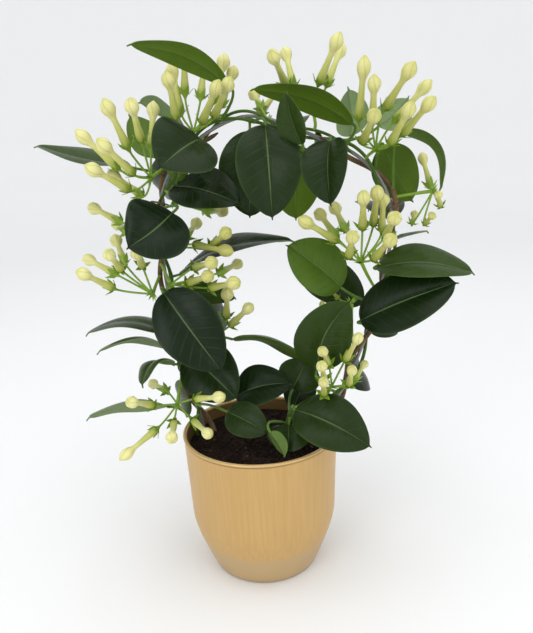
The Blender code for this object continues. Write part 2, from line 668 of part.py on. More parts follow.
def main():
    for old in list(bpy.data.objects):
        bpy.data.objects.remove(old)
    build_pot()
    stems = stem_meshes()
    hoop_path = smooth_path(HOOP_ROUTE, 20.0)
    legs = [(hoop_path[:9], WIRE_RADIUS), (hoop_path[:-10:-1], WIRE_RADIUS)]
    build_soil(legs + [(path, np.max(radii)) for _, path, radii, _ in stems])
    mesh_object("hoop", *tube(hoop_path, WIRE_RADIUS, 6), material("wire", (0.32, 0.33, 0.32), 0.5, 0.4))
    leaves = all_leaves()
    for vine, _, _, stem in stems:
        finish = material(vine, (0.035, 0.075, 0.03), 0.35)
        fused(vine, [stem] + [mesh for _, on, mesh in leaves if on == vine], finish)
    for name, meshes in all_clusters():
        fused(name, meshes, material(name, (0.52, 0.55, 0.20), 0.45))
    for name, station in TIES.items():
        finish = material(name, (0.16, 0.08, 0.05), 0.6)
        mesh_object(name, *tube(tie_path(station), TIE_WIRE, 4), finish)


if __name__ == "__main__":
    main()
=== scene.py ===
"""Madagascar jasmine in a gold glazed pot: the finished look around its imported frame.

Tables are in millimetres and meshes in metres. The plant's front faces -Y.
"""

import math
import random
from collections import namedtuple

import bmesh
import bpy
import numpy as np
from mathutils import Matrix, Vector, noise


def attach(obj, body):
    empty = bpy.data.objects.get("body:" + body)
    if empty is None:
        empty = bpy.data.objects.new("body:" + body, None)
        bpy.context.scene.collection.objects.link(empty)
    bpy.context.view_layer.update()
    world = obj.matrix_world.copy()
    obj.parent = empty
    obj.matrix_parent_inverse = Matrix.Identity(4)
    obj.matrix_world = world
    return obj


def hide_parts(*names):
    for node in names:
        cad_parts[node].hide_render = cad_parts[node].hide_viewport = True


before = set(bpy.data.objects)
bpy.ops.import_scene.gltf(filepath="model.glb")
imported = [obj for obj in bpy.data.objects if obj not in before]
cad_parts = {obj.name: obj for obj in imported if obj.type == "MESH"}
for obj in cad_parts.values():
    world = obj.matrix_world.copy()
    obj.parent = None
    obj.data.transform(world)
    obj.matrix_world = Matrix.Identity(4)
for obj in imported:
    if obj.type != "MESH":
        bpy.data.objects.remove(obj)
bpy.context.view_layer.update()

# The pot: a turned ceramic cachepot that narrows below its shoulder, with a thin rolled lip.
# Its satin gold lustre is brushed on in fine upright strokes, over a plainer band at the
# foot. It stands loose on the table.
MM = 0.001


class Value:
    """A number or colour in a material, with Python's operators on it."""

    def __init__(self, finish, socket):
        self.finish, self.socket = finish, socket

    def __add__(self, other):
        return self.finish.maths("ADD", self, other)

    def __radd__(self, other):
        return self.finish.maths("ADD", other, self)

    def __sub__(self, other):
        return self.finish.maths("SUBTRACT", self, other)

    def __rsub__(self, other):
        return self.finish.maths("SUBTRACT", other, self)

    def __mul__(self, other):
        return self.finish.maths("MULTIPLY", self, other)

    def __rmul__(self, other):
        return self.finish.maths("MULTIPLY", other, self)

    def __pow__(self, other):
        return self.finish.maths("POWER", self, other)

    def __abs__(self):
        return self.finish.maths("ABSOLUTE", self)


class Finish:
    """A material and the nodes that make it."""

    def __init__(self, name, **plain):
        self.made = bpy.data.materials.new(name)
        self.made.use_nodes = True
        self.nodes, self.links = self.made.node_tree.nodes, self.made.node_tree.links
        self.shader = self.nodes["Principled BSDF"]
        for socket, number in plain.items():
            self.shader.inputs[socket.replace("_", " ")].default_value = number

    def put(self, socket, item):
        """Links a value to a socket, or sets the socket to a plain number or colour."""
        if isinstance(item, Value):
            self.links.new(item.socket, socket)
        elif isinstance(item, tuple) and socket.type == "RGBA":
            socket.default_value = (*item, 1)
        else:
            socket.default_value = item

    def node(self, kind, settings=None, inputs=None, output=0):
        """Any node: its settings first, then what its sockets hold or are linked to."""
        node = self.nodes.new(kind)
        for key, setting in (settings or {}).items():
            setattr(node, key, setting)
        for key, item in (inputs or {}).items():
            self.put(node.inputs[key], item)
        return Value(self, node.outputs[output])

    def maths(self, operation, *items):
        return self.node("ShaderNodeMath", {"operation": operation}, dict(enumerate(items)))

    def between(self, item, low, high):
        """0 below low, 1 above high and smooth between."""
        return self.node("ShaderNodeMapRange", {"interpolation_type": "SMOOTHSTEP"},
                         {0: item, 1: low, 2: high})

    def mix(self, share, first, second):
        return self.node("ShaderNodeMix", {"data_type": "RGBA"},
                         {0: share, 6: first, 7: second}, 2)

    def noise(self, where, scale, detail=3.0, roughness=0.5):
        return self.node("ShaderNodeTexNoise", None,
                         {"Vector": where, "Scale": scale, "Detail": detail,
                          "Roughness": roughness})

    def place(self):
        return self.node("ShaderNodeTexCoord", None, None, "Object")

    def stretched(self, scale):
        """Object coordinates, scaled along each axis."""
        return self.node("ShaderNodeMapping", None, {"Vector": self.place(), "Scale": scale})

    def parts(self, vector):
        """The three numbers of a vector."""
        split = self.node("ShaderNodeSeparateXYZ", None, {0: vector})
        return [Value(self, out) for out in split.socket.node.outputs]

    def number(self, name):
        """A number that the mesh holds at each point."""
        return self.node("ShaderNodeAttribute", {"attribute_name": name}, None, "Fac")

    def bump(self, height, depth, strength=1.0):
        return self.node("ShaderNodeBump", None,
                         {"Height": height, "Distance": depth, "Strength": strength})

    def wear(self, **sockets):
        """Sets what changes over the surface, and returns the material."""
        for socket, item in sockets.items():
            self.put(self.shader.inputs[socket.replace("_", " ")], item)
        return self.made


class Growth:
    """Points, faces and what varies over them, gathered for one mesh."""

    def __init__(self):
        self.points, self.faces, self.looks, self.uvs, self.numbers = [], [], [], [], {}
        self.count = 0

    def add(self, rings, u, v, looks=0, **numbers):
        """A closed skin over rings. u goes round each ring and v goes along them."""
        rings = np.asarray(rings, float)
        count, sides = rings.shape[:2]
        index = self.count + np.arange(count * sides).reshape(count, sides)
        after = np.roll(index, -1, axis=1)
        quads = np.stack([index[:-1], after[:-1], after[1:], index[1:]], axis=-1)
        self.faces += quads.reshape(-1, 4).tolist()
        self.looks += np.tile(np.broadcast_to(looks, sides), count - 1).tolist()
        self.faces += [index[0, ::-1].tolist(), index[-1].tolist()]
        self.looks += [int(np.max(looks))] * 2
        self.points.append(rings.reshape(-1, 3))
        self.uvs.append(np.stack([np.tile(u, count), np.repeat(v, sides)], axis=1))
        for name, number in numbers.items():
            spread = np.repeat(np.broadcast_to(number, count), sides)
            self.numbers.setdefault(name, []).append(spread)
        self.count += count * sides


def in_scene(name, data):
    """A new object of a mesh, lamp or camera, linked into the scene."""
    made = bpy.data.objects.new(name, data)
    bpy.context.scene.collection.objects.link(made)
    return made


def plain_piece(name, mesh, slot, *nodes, sharp=60):
    """A finished object of a ready mesh, which rides on the part and stands for its nodes."""
    mesh.name = name
    mesh.shade_smooth()
    mesh.set_sharp_from_angle(angle=math.radians(sharp))
    made = in_scene(name, mesh)
    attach(made, "root")
    if nodes:
        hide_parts(*nodes)


def piece(name, growth, finishes, slot, *nodes, sharp=50):
    """The finished object of a growth and its materials."""
    mesh = bpy.data.meshes.new(name)
    mesh.from_pydata((MM * np.concatenate(growth.points)).tolist(), [], growth.faces)
    bm = bmesh.new()
    bm.from_mesh(mesh)
    bmesh.ops.recalc_face_normals(bm, faces=bm.faces)
    bm.to_mesh(mesh)
    bm.free()
    corners = np.empty(len(mesh.loops), np.int32)
    mesh.loops.foreach_get("vertex_index", corners)
    starts, totals = (np.empty(len(mesh.polygons), np.int32) for _ in range(2))
    mesh.polygons.foreach_get("loop_start", starts)
    mesh.polygons.foreach_get("loop_total", totals)
    uv = np.concatenate(growth.uvs)[corners]
    # The strip that closes a ring runs on past 1 instead of back to 0.
    most = np.repeat(np.maximum.reduceat(uv[:, 0], starts), totals)
    uv[:, 0] += most - uv[:, 0] > 0.5
    mesh.uv_layers.new(name="UVMap").data.foreach_set("uv", uv.astype(np.float32).ravel())
    for key, numbers in growth.numbers.items():
        made = mesh.attributes.new(key, "FLOAT", "POINT")
        made.data.foreach_set("value", np.concatenate(numbers).astype(np.float32))
    mesh.polygons.foreach_set("material_index", np.array(growth.looks, np.int32))
    for finish in finishes:
        mesh.materials.append(finish)
    plain_piece(name, mesh, slot, *nodes, sharp=sharp)


def around(sides):
    """Even shares of a turn, from 0 to just under 1."""
    return np.arange(sides) / sides


def turned(profile, sides):
    """Rings of an outline of (radius, height) turned about the pot's axis."""
    angles = 2 * np.pi * around(sides)
    return [np.stack([r * np.cos(angles), r * np.sin(angles), np.full(sides, z)], axis=1)
            for r, z in profile]


POT_SIDES = 180
# From the middle of the base, up the outside, over the lip and down to the floor inside.
POT_OUTLINE = [
    (0.4, 0.9), (20, 0.9), (40, 0.8), (42.5, 0.2), (44.8, 0.0), (46.0, 0.3), (46.8, 1.1),
    (47.5, 2.4), (50.9, 10.0), (54.3, 19.0), (56.2, 24.0), (58.0, 29.0), (59.6, 33.6), (60.9, 38.0),
    (62.0, 41.8), (62.8, 45.0), (63.3, 47.6), (63.6, 50.3), (63.9, 54.0), (64.3, 64.0),
    (65.0, 82.0), (65.9, 104.0), (66.6, 121.0), (66.7, 122.8), (66.4, 123.3), (66.4, 123.7),
    (66.8, 124.0), (67.3, 124.3), (67.5, 124.8), (67.4, 125.4), (67.0, 125.8), (66.4, 126.0),
    (65.4, 126.0), (64.7, 125.8), (64.3, 125.3), (64.1, 124.6), (63.9, 123.0), (63.5, 118.0),
    (62.5, 100.0), (61.3, 76.0), (60.2, 50.0), (46.2, 6.2), (30, 6.0), (0.4, 6.0),
]
# Heights in metres where the foot band ends, and of the groove under the lip and the lip.
BAND_FADE, GROOVE_HEIGHT, LIP_FADE = (0.0310, 0.0345), 0.1234, (0.1238, 0.1246)
# How far along the outline, from 0 to 1, the painted shade inside the pot sets in.
INNER_SHADE_FADE = (0.795, 0.835)
gold = Finish("gold lustre glaze", Metallic=0.30, Roughness=0.40)
_, _, z = gold.parts(gold.place())
strokes = gold.noise(gold.stretched((420, 420, 5)), 1.0, 2.0, 0.6)
broad = gold.noise(gold.stretched((90, 90, 9)), 1.0, 3.0, 0.55)
cloud = gold.noise(gold.place(), 26.0, 4.0)
above = gold.between(z + 0.0040 * broad, *BAND_FADE)
groove = gold.between(abs(z - GROOVE_HEIGHT), 0.0009, 0.0003)
lip = gold.between(z, *LIP_FADE)
foot = gold.between(z, 0.006, 0.001)
base = gold.mix(above, (0.530, 0.370, 0.180), (0.560, 0.350, 0.125))
brushed = above * (1 - lip)
base = gold.mix(brushed * gold.between(strokes, 0.40, 0.66) * 0.18, base, (0.72, 0.50, 0.22))
# The lip is painted lighter: a painted highlight along the rolled rim.
base = gold.mix(lip * 0.35, base, (0.78, 0.56, 0.26))
base = gold.mix(gold.between(broad, 0.52, 0.72) * 0.18, base, (0.50, 0.30, 0.10))
base = gold.mix(gold.between(cloud, 0.56, 0.78) * 0.15, base, (0.46, 0.29, 0.11))
# Painted shade darkens the groove under the lip.
base = gold.mix(groove * 0.6, base, (0.20, 0.115, 0.035))
base = gold.mix(foot * 0.5, base, (0.40, 0.30, 0.18))
_, along, _ = gold.parts(gold.node("ShaderNodeUVMap", {"uv_map": "UVMap"}))
# The inside of the pot is darkened with painted shade.
inside = gold.between(along, *INNER_SHADE_FADE)
base = gold.mix(inside * 0.75, base, (0.16, 0.085, 0.025))
gold_finish = gold.wear(
    Base_Color=base,
    Roughness=0.34 + 0.16 * strokes * brushed + 0.10 * (1 - above) - 0.10 * lip,
    Normal=gold.bump(strokes * brushed * 0.8 + broad * 0.3, 0.00018, 0.6),
)
pot_rings = Growth()
pot_rings.add(turned(POT_OUTLINE, POT_SIDES), around(POT_SIDES),
              np.linspace(0, 1, len(POT_OUTLINE)))
piece("pot_gold", pot_rings, [gold_finish], "pot", "pot", sharp=70)

# The soil: dark crumbly potting soil, uneven on top, that fills the pot to below the lip,
# with lumps and flecks of bark lying on it.
SOIL_TOP, SOIL_EDGE = 114.0, 62.2
LEVEL_FROM, LEVEL_WIDTH = 58, 10
LUMP_SPAN, LUMP_HEIGHT, GRAIN_SPAN, GRAIN_HEIGHT = 17, 2.6, 4, 1.1
# Below its top the soil follows the pot's inner wall, a little inside it.
SOIL_BELOW = [(59.4, 50.0), (45.4, 6.5), (0.3, 6.5)]


def soil_height(px, py):
    """The soil's uneven surface, level where it meets the pot."""
    edge = min(1.0, max(0.0, (LEVEL_FROM - math.hypot(px, py)) / LEVEL_WIDTH))
    bumps = noise.fractal(Vector((px / LUMP_SPAN, py / LUMP_SPAN, 0.7)), 1.0, 2.0, 3)
    fine = noise.fractal(Vector((px / GRAIN_SPAN, py / GRAIN_SPAN, 3.1)), 1.0, 2.0, 4)
    return (SOIL_TOP + edge * LUMP_HEIGHT * (1.4 * bumps + 0.5)
            + GRAIN_HEIGHT * fine * (0.4 + 0.6 * edge))


def geometry_tree(name, sockets):
    """A node tree with named inputs, and its first and last nodes."""
    tree = bpy.data.node_groups.new(name, "GeometryNodeTree")
    tree.interface.new_socket("Geometry", in_out="INPUT", socket_type="NodeSocketGeometry")
    for key, kind in sockets.items():
        tree.interface.new_socket(key, in_out="INPUT", socket_type=f"NodeSocket{kind}")
    tree.interface.new_socket("Geometry", in_out="OUTPUT", socket_type="NodeSocketGeometry")
    return tree, tree.nodes.new("NodeGroupInput"), tree.nodes.new("NodeGroupOutput")


def wire_up(tree, *runs):
    """Links in a tree, each from an output of one node to an input of another."""
    for start, out, end, into in runs:
        tree.links.new(start.outputs[out], end.inputs[into])


def grown_mesh(source, tree, **values):
    """The plain mesh that a tree makes of an object, which is removed."""
    modifier = source.modifiers.new(tree.name, "NODES")
    modifier.node_group = tree
    for item in tree.interface.items_tree:
        if item.in_out == "INPUT" and item.name in values:
            modifier[item.identifier] = values[item.name]
    bpy.context.view_layer.update()
    graph = bpy.context.evaluated_depsgraph_get()
    mesh = bpy.data.meshes.new_from_object(source.evaluated_get(graph))
    bpy.data.objects.remove(source)
    return mesh


soil = Finish("potting soil", Specular_IOR_Level=0.2)
grit = soil.noise(soil.place(), 420.0, 6.0, 0.7)
damp = soil.noise(soil.place(), 60.0, 3.0)
soil_colour = soil.mix(soil.between(grit, 0.35, 0.7), (0.006, 0.0028, 0.0018),
                       (0.040, 0.019, 0.011))
soil_colour = soil.mix(soil.between(grit, 0.68, 0.78) * 0.5, soil_colour, (0.11, 0.055, 0.030))
soil_colour = soil.mix(soil.between(damp, 0.5, 0.75) * 0.5, soil_colour, (0.005, 0.0025, 0.0018))
soil_finish = soil.wear(
    Base_Color=soil_colour,
    Roughness=0.80 + 0.15 * grit,
    Normal=soil.bump(grit, 0.0012),
)
SOIL_SIDES, SOIL_RINGS = 120, 34
soil_rings = []
for step in range(SOIL_RINGS + 1):
    ring_radius = max(0.3, SOIL_EDGE * step / SOIL_RINGS)
    soil_rings.append([
        (ring_radius * math.cos(a), ring_radius * math.sin(a),
         soil_height(ring_radius * math.cos(a), ring_radius * math.sin(a)))
        for a in 2 * np.pi * around(SOIL_SIDES)
    ])
soil_rings += turned(SOIL_BELOW, SOIL_SIDES)
soil_growth = Growth()
soil_growth.add(soil_rings, around(SOIL_SIDES), np.linspace(0, 1, len(soil_rings)))
piece("soil_bed", soil_growth, [soil_finish], "soil", "soil")

CRUMB_FLATNESS, ANY_TURN = 0.6, (6.3, 6.3, 6.3)
tree, entry, result = geometry_tree(
    "crumbs", {"Density": "Float", "Smallest": "Float", "Largest": "Float", "Seed": "Int",
               "Finish": "Material"})
scatter = tree.nodes.new("GeometryNodeDistributePointsOnFaces")
crumb = tree.nodes.new("GeometryNodeMeshIcoSphere")
crumb.inputs["Radius"].default_value = 1.0
crumb.inputs["Subdivisions"].default_value = 2
sizes = tree.nodes.new("FunctionNodeRandomValue")
angles = tree.nodes.new("FunctionNodeRandomValue")
angles.data_type = "FLOAT_VECTOR"
angles.inputs["Max"].default_value = ANY_TURN
place = tree.nodes.new("GeometryNodeInstanceOnPoints")
squash = tree.nodes.new("ShaderNodeCombineXYZ")
real = tree.nodes.new("GeometryNodeRealizeInstances")
dress = tree.nodes.new("GeometryNodeSetMaterial")
flatter = tree.nodes.new("ShaderNodeMath")
flatter.operation = "MULTIPLY"
flatter.inputs[1].default_value = CRUMB_FLATNESS
wire_up(
    tree,
    (entry, "Geometry", scatter, "Mesh"),
    (entry, "Density", scatter, "Density"),
    (entry, "Seed", scatter, "Seed"),
    (entry, "Smallest", sizes, 2),
    (entry, "Largest", sizes, 3),
    (entry, "Seed", sizes, "Seed"),
    (entry, "Seed", angles, "Seed"),
    (scatter, "Points", place, "Points"),
    (crumb, "Mesh", place, "Instance"),
    (angles, "Value", place, "Rotation"),
    (sizes, 1, squash, "X"),
    (sizes, 1, squash, "Y"),
    (sizes, 1, flatter, 0),
    (flatter, 0, squash, "Z"),
    (squash, 0, place, "Scale"),
    (place, "Instances", real, "Geometry"),
    (real, "Geometry", dress, "Geometry"),
    (entry, "Finish", dress, "Material"),
    (dress, "Geometry", result, "Geometry"),
)


def skin_between(bm, rings):
    """Quads between closed rings of vertices."""
    for lower, upper in zip(rings, rings[1:]):
        for j in range(len(lower)):
            k = (j + 1) % len(lower)
            bm.faces.new((lower[j], lower[k], upper[k], upper[j]))


def soil_patch():
    """The bare top of the soil, inside the pot's lip, for scattering things over."""
    bm = bmesh.new()
    skin_between(bm, [[bm.verts.new([MM * c for c in p]) for p in ring]
                      for ring in soil_rings[1 : SOIL_RINGS - 1 : 2]])
    mesh = bpy.data.meshes.new("soil top")
    bm.to_mesh(mesh)
    bm.free()
    return in_scene("soil top", mesh)


bark = Finish("bark flecks")
bark_grain = bark.noise(bark.stretched((500, 500, 120)), 1.0, 4.0)
bark_finish = bark.wear(
    Base_Color=bark.mix(bark_grain, (0.030, 0.013, 0.008), (0.16, 0.080, 0.045)),
    Roughness=0.7 + 0.25 * bark_grain, Normal=bark.bump(bark_grain, 0.0006))
plain_piece("soil_crumbs", grown_mesh(
    soil_patch(), tree, Density=95000.0, Smallest=0.0005, Largest=0.0017, Seed=4,
    Finish=soil_finish), "soil", sharp=30)
plain_piece("soil_bark", grown_mesh(
    soil_patch(), tree, Density=2200.0, Smallest=0.0007, Largest=0.0019, Seed=11,
    Finish=bark_finish), "soil", sharp=30)

# The hoop: one galvanised wire bent to an arch, both legs pushed deep into the soil.
# It carries the vines that are wound round it.
WIRE_RADIUS = 1.5
HOOP_ROUTE = [
    (-44, 13, 52), (-46, 13, 84), (-50, 14, 118), (-61, 18, 165), (-70, 22, 215), (-75, 26, 265),
    (-76, 28, 305), (-67, 29, 340), (-45, 27, 366), (-18, 25, 382), (5, 23, 387), (28, 21, 381),
    (54, 19, 370), (84, 15, 356), (105, 12, 336), (116, 10, 307), (113, 9, 272), (104, 8, 235),
    (92, 8, 197), (75, 8, 158), (51, 8, 118), (47, 8, 84), (46, 8, 52),
]


def unit(v):
    return v / np.linalg.norm(v)


def smooth_path(points, spacing):
    """Points at even steps along a smooth curve through the given ones."""
    given = np.array(points, float)
    padded = np.vstack([2 * given[0] - given[1], given, 2 * given[-1] - given[-2]])
    fine = []
    for i in range(1, len(padded) - 2):
        p0, p1, p2, p3 = padded[i - 1 : i + 3]
        for t in np.linspace(0, 1, 12, endpoint=False):
            fine.append(0.5 * (2 * p1 + (p2 - p0) * t + (2 * p0 - 5 * p1 + 4 * p2 - p3) * t**2
                               + (3 * p1 - p0 - 3 * p2 + p3) * t**3))
    fine.append(padded[-2])
    fine = np.array(fine)
    length = np.concatenate([[0], np.cumsum(np.linalg.norm(np.diff(fine, axis=0), axis=1))])
    steps = np.linspace(0, length[-1], max(2, round(length[-1] / spacing)) + 1)
    return np.stack([np.interp(steps, length, fine[:, k]) for k in range(3)], axis=1)


HOOP = smooth_path(HOOP_ROUTE, 1.0)
# How many points each way along a path give its direction.
LOOK = 6


def on_path(path, s):
    """Point and direction at s mm along a path with a point every mm."""
    s = min(max(s, 0.0), len(path) - 1.001)
    i = int(s)
    lo, hi = max(i - LOOK, 0), min(i + 1 + LOOK, len(path) - 1)
    return path[i] + (path[i + 1] - path[i]) * (s - i), unit(path[hi] - path[lo])


wire_tree, entry, result = geometry_tree(
    "wire", {"Radius": "Float", "Sides": "Int", "Finish": "Material"})
curve = wire_tree.nodes.new("GeometryNodeMeshToCurve")
ring = wire_tree.nodes.new("GeometryNodeCurvePrimitiveCircle")
skin = wire_tree.nodes.new("GeometryNodeCurveToMesh")
skin.inputs["Fill Caps"].default_value = True
real = wire_tree.nodes.new("GeometryNodeRealizeInstances")
dress = wire_tree.nodes.new("GeometryNodeSetMaterial")
wire_up(
    wire_tree,
    (entry, "Geometry", curve, "Mesh"),
    (entry, "Radius", ring, "Radius"),
    (entry, "Sides", ring, "Resolution"),
    (curve, "Curve", skin, "Curve"),
    (ring, "Curve", skin, "Profile Curve"),
    (skin, "Mesh", real, "Geometry"),
    (real, "Geometry", dress, "Geometry"),
    (entry, "Finish", dress, "Material"),
    (dress, "Geometry", result, "Geometry"),
)


def wire_piece(name, path, radius, sides, finish, slot, *nodes):
    """A wire of one thickness along a path in millimetres."""
    mesh = bpy.data.meshes.new(name)
    links = [(i, i + 1) for i in range(len(path) - 1)]
    mesh.from_pydata([[MM * c for c in p] for p in path], links, [])
    made = grown_mesh(in_scene("route", mesh), wire_tree,
                      Radius=MM * radius, Sides=sides, Finish=finish)
    plain_piece(name, made, slot, *nodes)


zinc = Finish("galvanised wire", Metallic=0.7)
spangle = zinc.noise(zinc.place(), 300.0, 3.0)
zinc_finish = zinc.wear(
    Base_Color=zinc.mix(spangle, (0.17, 0.17, 0.16), (0.36, 0.36, 0.34)),
    Roughness=0.38 + 0.25 * spangle, Normal=zinc.bump(spangle, 0.0002))
wire_piece("hoop_wire", smooth_path(HOOP_ROUTE, 4.0), WIRE_RADIUS, 14, zinc_finish, "wire", "hoop")

# The vines: four long stems wound round the hoop at one pitch, so they never cross, and
# one short shoot by itself in front. Old stems are brown and corky, young ones green; each
# swells at the joints where its leaves grow.
SOIL_CROSSING, TWINE_RADIUS, TWINE_PITCH = 62.0, 4.7, 95.0
# Near the soil the stems stand wider apart, and close up over a short climb.
ROOT_SPREAD, ROOT_CLIMB, ROOT_FADE = 3.0, 50, 30
STEM_SIDES, STEM_STEP, STEM_TIP = 10, 2.5, (0.9, 0.65, 0.35)
# How long a stem's swelling is at a joint, and how much young and old stems swell there.
JOINT_LENGTH, YOUNG_SWELLING, OLD_SWELLING = 3.2, 0.30, 0.12
# Each vine's first and last station along the hoop, its angle round it, and its radii.
VINES = {
    "vine_left_green": (12, 470, 180, 1.7, 1.2),
    "vine_left_woody": (12, 352, 0, 2.6, 1.8),
    "vine_right_green": (786, 330, 90, 1.7, 1.2),
    "vine_right_woody": (786, 440, 270, 2.6, 2.0),
}
SHOOT, SHOOT_RADII, SHOOT_STEP = "vine_front_shoot", (1.6, 1.4), 2.0
SHOOT_ROUTE = [(20, -14, 58), (20, -14, 84), (20, -14, 116), (23, -17, 136), (28, -20, 154)]
SHOOT_PATH = smooth_path(SHOOT_ROUTE, 1.0)
# How far along the hoop, and in what steps, a leaf or cluster looks for its stem.
REACH, REACH_STEP = 12.0, 3.0
END_MARGIN = 4
# A direction that no stem follows, from which the rings of tubes start.
SIDELONG = (0.31, 0.87, 0.38)
# A leaf's station on its stem, its tip, turn about its length, width, bow and fold, the
# length of its stalk, how far it sways aside and, where it's given, the point where the
# blade starts.
Leaf = namedtuple("Leaf", "at tip turn width bow fold petiole sway neck", defaults=(9, 0, None))
HOOP_LEAVES = {
    "crown_left": Leaf(372, (-81, -12, 441), -112, 27, 0.13, -8, neck=(-11, 8, 411)),
    "crown_left_low": Leaf(340, (-62, -42, 354), 0, 54, 0.10, 8, neck=(-34, -6, 372)),
    "curtain_middle": Leaf(388, (18, -26, 311), 0, 50, 0.12, 8, neck=(16, -4, 380)),
    "curtain_back_right": Leaf(408, (38, 18, 303), 180, 44, 0.05, -5, 8),
    "curtain_back_left": Leaf(370, (0, 20, 306), 0, 50, 0.04, 5, 8),
    "inner_left": Leaf(296, (-5, -14, 322), 28, 44, 0.08, 6, 5),
    "crown_upright": Leaf(420, (31, -24, 402), 48, 26, 0.06, 14, neck=(42, -22, 365)),
    "crown_folded": Leaf(446, (61, -36, 321), -24, 40, 0.12, 26, neck=(64, -12, 366)),
    "crown_right": Leaf(474, (6, -2, 407), -112, 30, 0.12, -8, neck=(84, 6, 378)),
    "crown_back_right": Leaf(470, (89, 66, 406), -150, 30, 0.10, 0, neck=(86, 30, 368)),
    "crown_far_right": Leaf(472, (139, 60, 396), -160, 32, 0.10, 0, neck=(110, 38, 374)),
    "shoulder_right": Leaf(500, (149, -14, 325), 82, 32, 0.24, 8, neck=(124, 10, 369)),
    "arch_right": Leaf(480, (135, 22, 313), 180, 40, 0.10, -6, neck=(110, 18, 360)),
    "under_crown_right": Leaf(456, (61, 62, 349), -70, 34, 0.10, 0, 10),
    "right_long": Leaf(572, (178, -15, 260), 50, 46, 0.10, 6, neck=(101, -5, 265)),
    "right_dark": Leaf(634, (160, -30, 257), 34, 52, 0.04, 5, neck=(86, -14, 224)),
    "right_upright": Leaf(690, (76, -32, 246), 0, 46, 0.04, 8, 9, -0.10, (50, -16, 184)),
    "right_young": Leaf(612, (29, -2, 287), -16, 46, 0.08, 10, neck=(72, -3, 250)),
    "left_inward": Leaf(222, (36, -4, 291), 66, 42, 0.10, 6, 10),
    "left_heart": Leaf(256, (-90, -46, 298), 0, 54, 0.10, 6, 9, -0.06, (-58, -20, 319)),
    "left_big": Leaf(206, (-27, -36, 193), 0, 52, 0.06, 6, neck=(-72, -10, 254)),
    "left_big_under": Leaf(160, (-17, -22, 163), 0, 50, 0.05, 6, 8),
    "low_inward": Leaf(156, (43, 25, 175), 105, 34, 0.14, -6, neck=(-20, 18, 203)),
    "low_middle": Leaf(96, (29, -6, 169), 42, 42, 0.12, 10, neck=(-19, -6, 159)),
    "low_front": Leaf(82, (7, -44, 142), 20, 30, 0.10, 6, neck=(-26, -24, 153)),
    "left_arched_high": Leaf(158, (-150, 27, 211), -75, 40, 0.14, 0, neck=(-77, 14, 213)),
    "left_arched_low": Leaf(144, (-133, -6, 205), -98, 36, 0.18, -8, neck=(-74, 8, 199)),
    "left_curled": Leaf(140, (-95, -24, 180), -75, 32, 0.30, 0, neck=(-72, 4, 187)),
    "left_back_low": Leaf(108, (-78, 56, 134), 10, 36, 0.06, 0, 8),
    "left_lowest": Leaf(84, (-148, -10, 147), -112, 34, 0.10, -8, neck=(-79, -2, 151)),
    "right_small_back": Leaf(556, (152, 34, 287), 80, 16, 0.04, 0, neck=(120, 22, 283)),
    "left_far": Leaf(288, (-173, 32, 373), -62, 40, -0.03, 8, neck=(-95, 20, 353)),
    "left_rising": Leaf(316, (-97, 52, 392), 170, 30, 0.08, -14, 8),
    "crown_back_left": Leaf(324, (-94, 88, 404), -100, 30, 0.10, 0, 10),
    "left_small_round": Leaf(308, (-54, -15, 341), 0, 20, 0.06, 0, 6),
    "left_small_back": Leaf(186, (-15, 34, 235), 30, 22, 0.06, 0, 6),
    "back_low_left": Leaf(156, (-66, 96, 168), 0, 40, 0.12, 6),
    "back_left": Leaf(236, (-95, 92, 280), 0, 42, 0.12, 6),
    "back_crown_left": Leaf(336, (-82, 104, 320), 10, 36, 0.12, 6),
    "back_crown": Leaf(416, (35, 102, 366), 0, 42, 0.12, 6),
    "back_crown_right": Leaf(538, (112, 104, 298), -10, 42, 0.12, 6),
    "back_right": Leaf(574, (158, 84, 236), 0, 42, 0.12, 6),
    "back_right_low": Leaf(622, (122, 88, 200), 0, 42, 0.12, 6),
    "back_low_right": Leaf(690, (98, 84, 146), 0, 40, 0.12, 6),
    "back_inner_left": Leaf(176, (-28, 88, 205), 10, 40, 0.12, 6),
    "back_inner_right": Leaf(600, (45, 78, 250), -10, 40, 0.12, 6),
}
SHOOT_LEAVES = {
    "shoot_right": Leaf(110, (88, -60, 134), 25, 46, 0.12, 8, neck=(30, -30, 155)),
    "shoot_down": Leaf(88, (22, -42, 122), 0, 36, 0.10, 8),
    "shoot_small": Leaf(78, (20, -50, 124), 150, 14, 0.08, 20, neck=(9, -46, 144)),
    "shoot_up": Leaf(92, (44, 16, 182), 0, 38, 0.08, 8, neck=(30, 6, 158)),
    "shoot_back": Leaf(66, (44, 50, 152), 10, 30, 0.08, 8, neck=(30, 8, 137)),
}


def twine_point(vine, s):
    """Centre of a vine's stem where it passes s mm along the hoop."""
    start, _, angle = VINES[vine][:3]
    centre, along = on_path(HOOP, s)
    inward = unit(np.cross((0, 1, 0), along))
    back = np.cross(along, inward)
    above_soil = min(max(s, SOIL_CROSSING), len(HOOP) - SOIL_CROSSING) - SOIL_CROSSING
    turn = math.radians(angle) + 2 * math.pi * above_soil / TWINE_PITCH
    climbed = max(0.0, abs(s - start) - ROOT_CLIMB)
    spread = TWINE_RADIUS + ROOT_SPREAD * math.exp(-((climbed / ROOT_FADE) ** 2))
    return centre + spread * (math.cos(turn) * inward + math.sin(turn) * back)


def stem_present(vine, s):
    """Whether a vine runs past station s with its stem well clear of the soil."""
    start, end = VINES[vine][:2]
    within = min(start, end) + END_MARGIN < s < max(start, end) - END_MARGIN
    return within and abs(s - start) > SOIL_CROSSING


def stem_facing(at, target):
    """The vine and station, near the given one, whose stem lies most on the target's side."""
    best = None
    for s in np.arange(at - REACH, at + REACH + 1, REACH_STEP):
        centre, _ = on_path(HOOP, s)
        aim = unit(np.array(target, float) - centre)
        for vine in VINES:
            if not stem_present(vine, s):
                continue
            facing = unit(twine_point(vine, s) - centre) @ aim
            if best is None or facing > best[0]:
                best = (facing, vine, s)
    return best[1:]


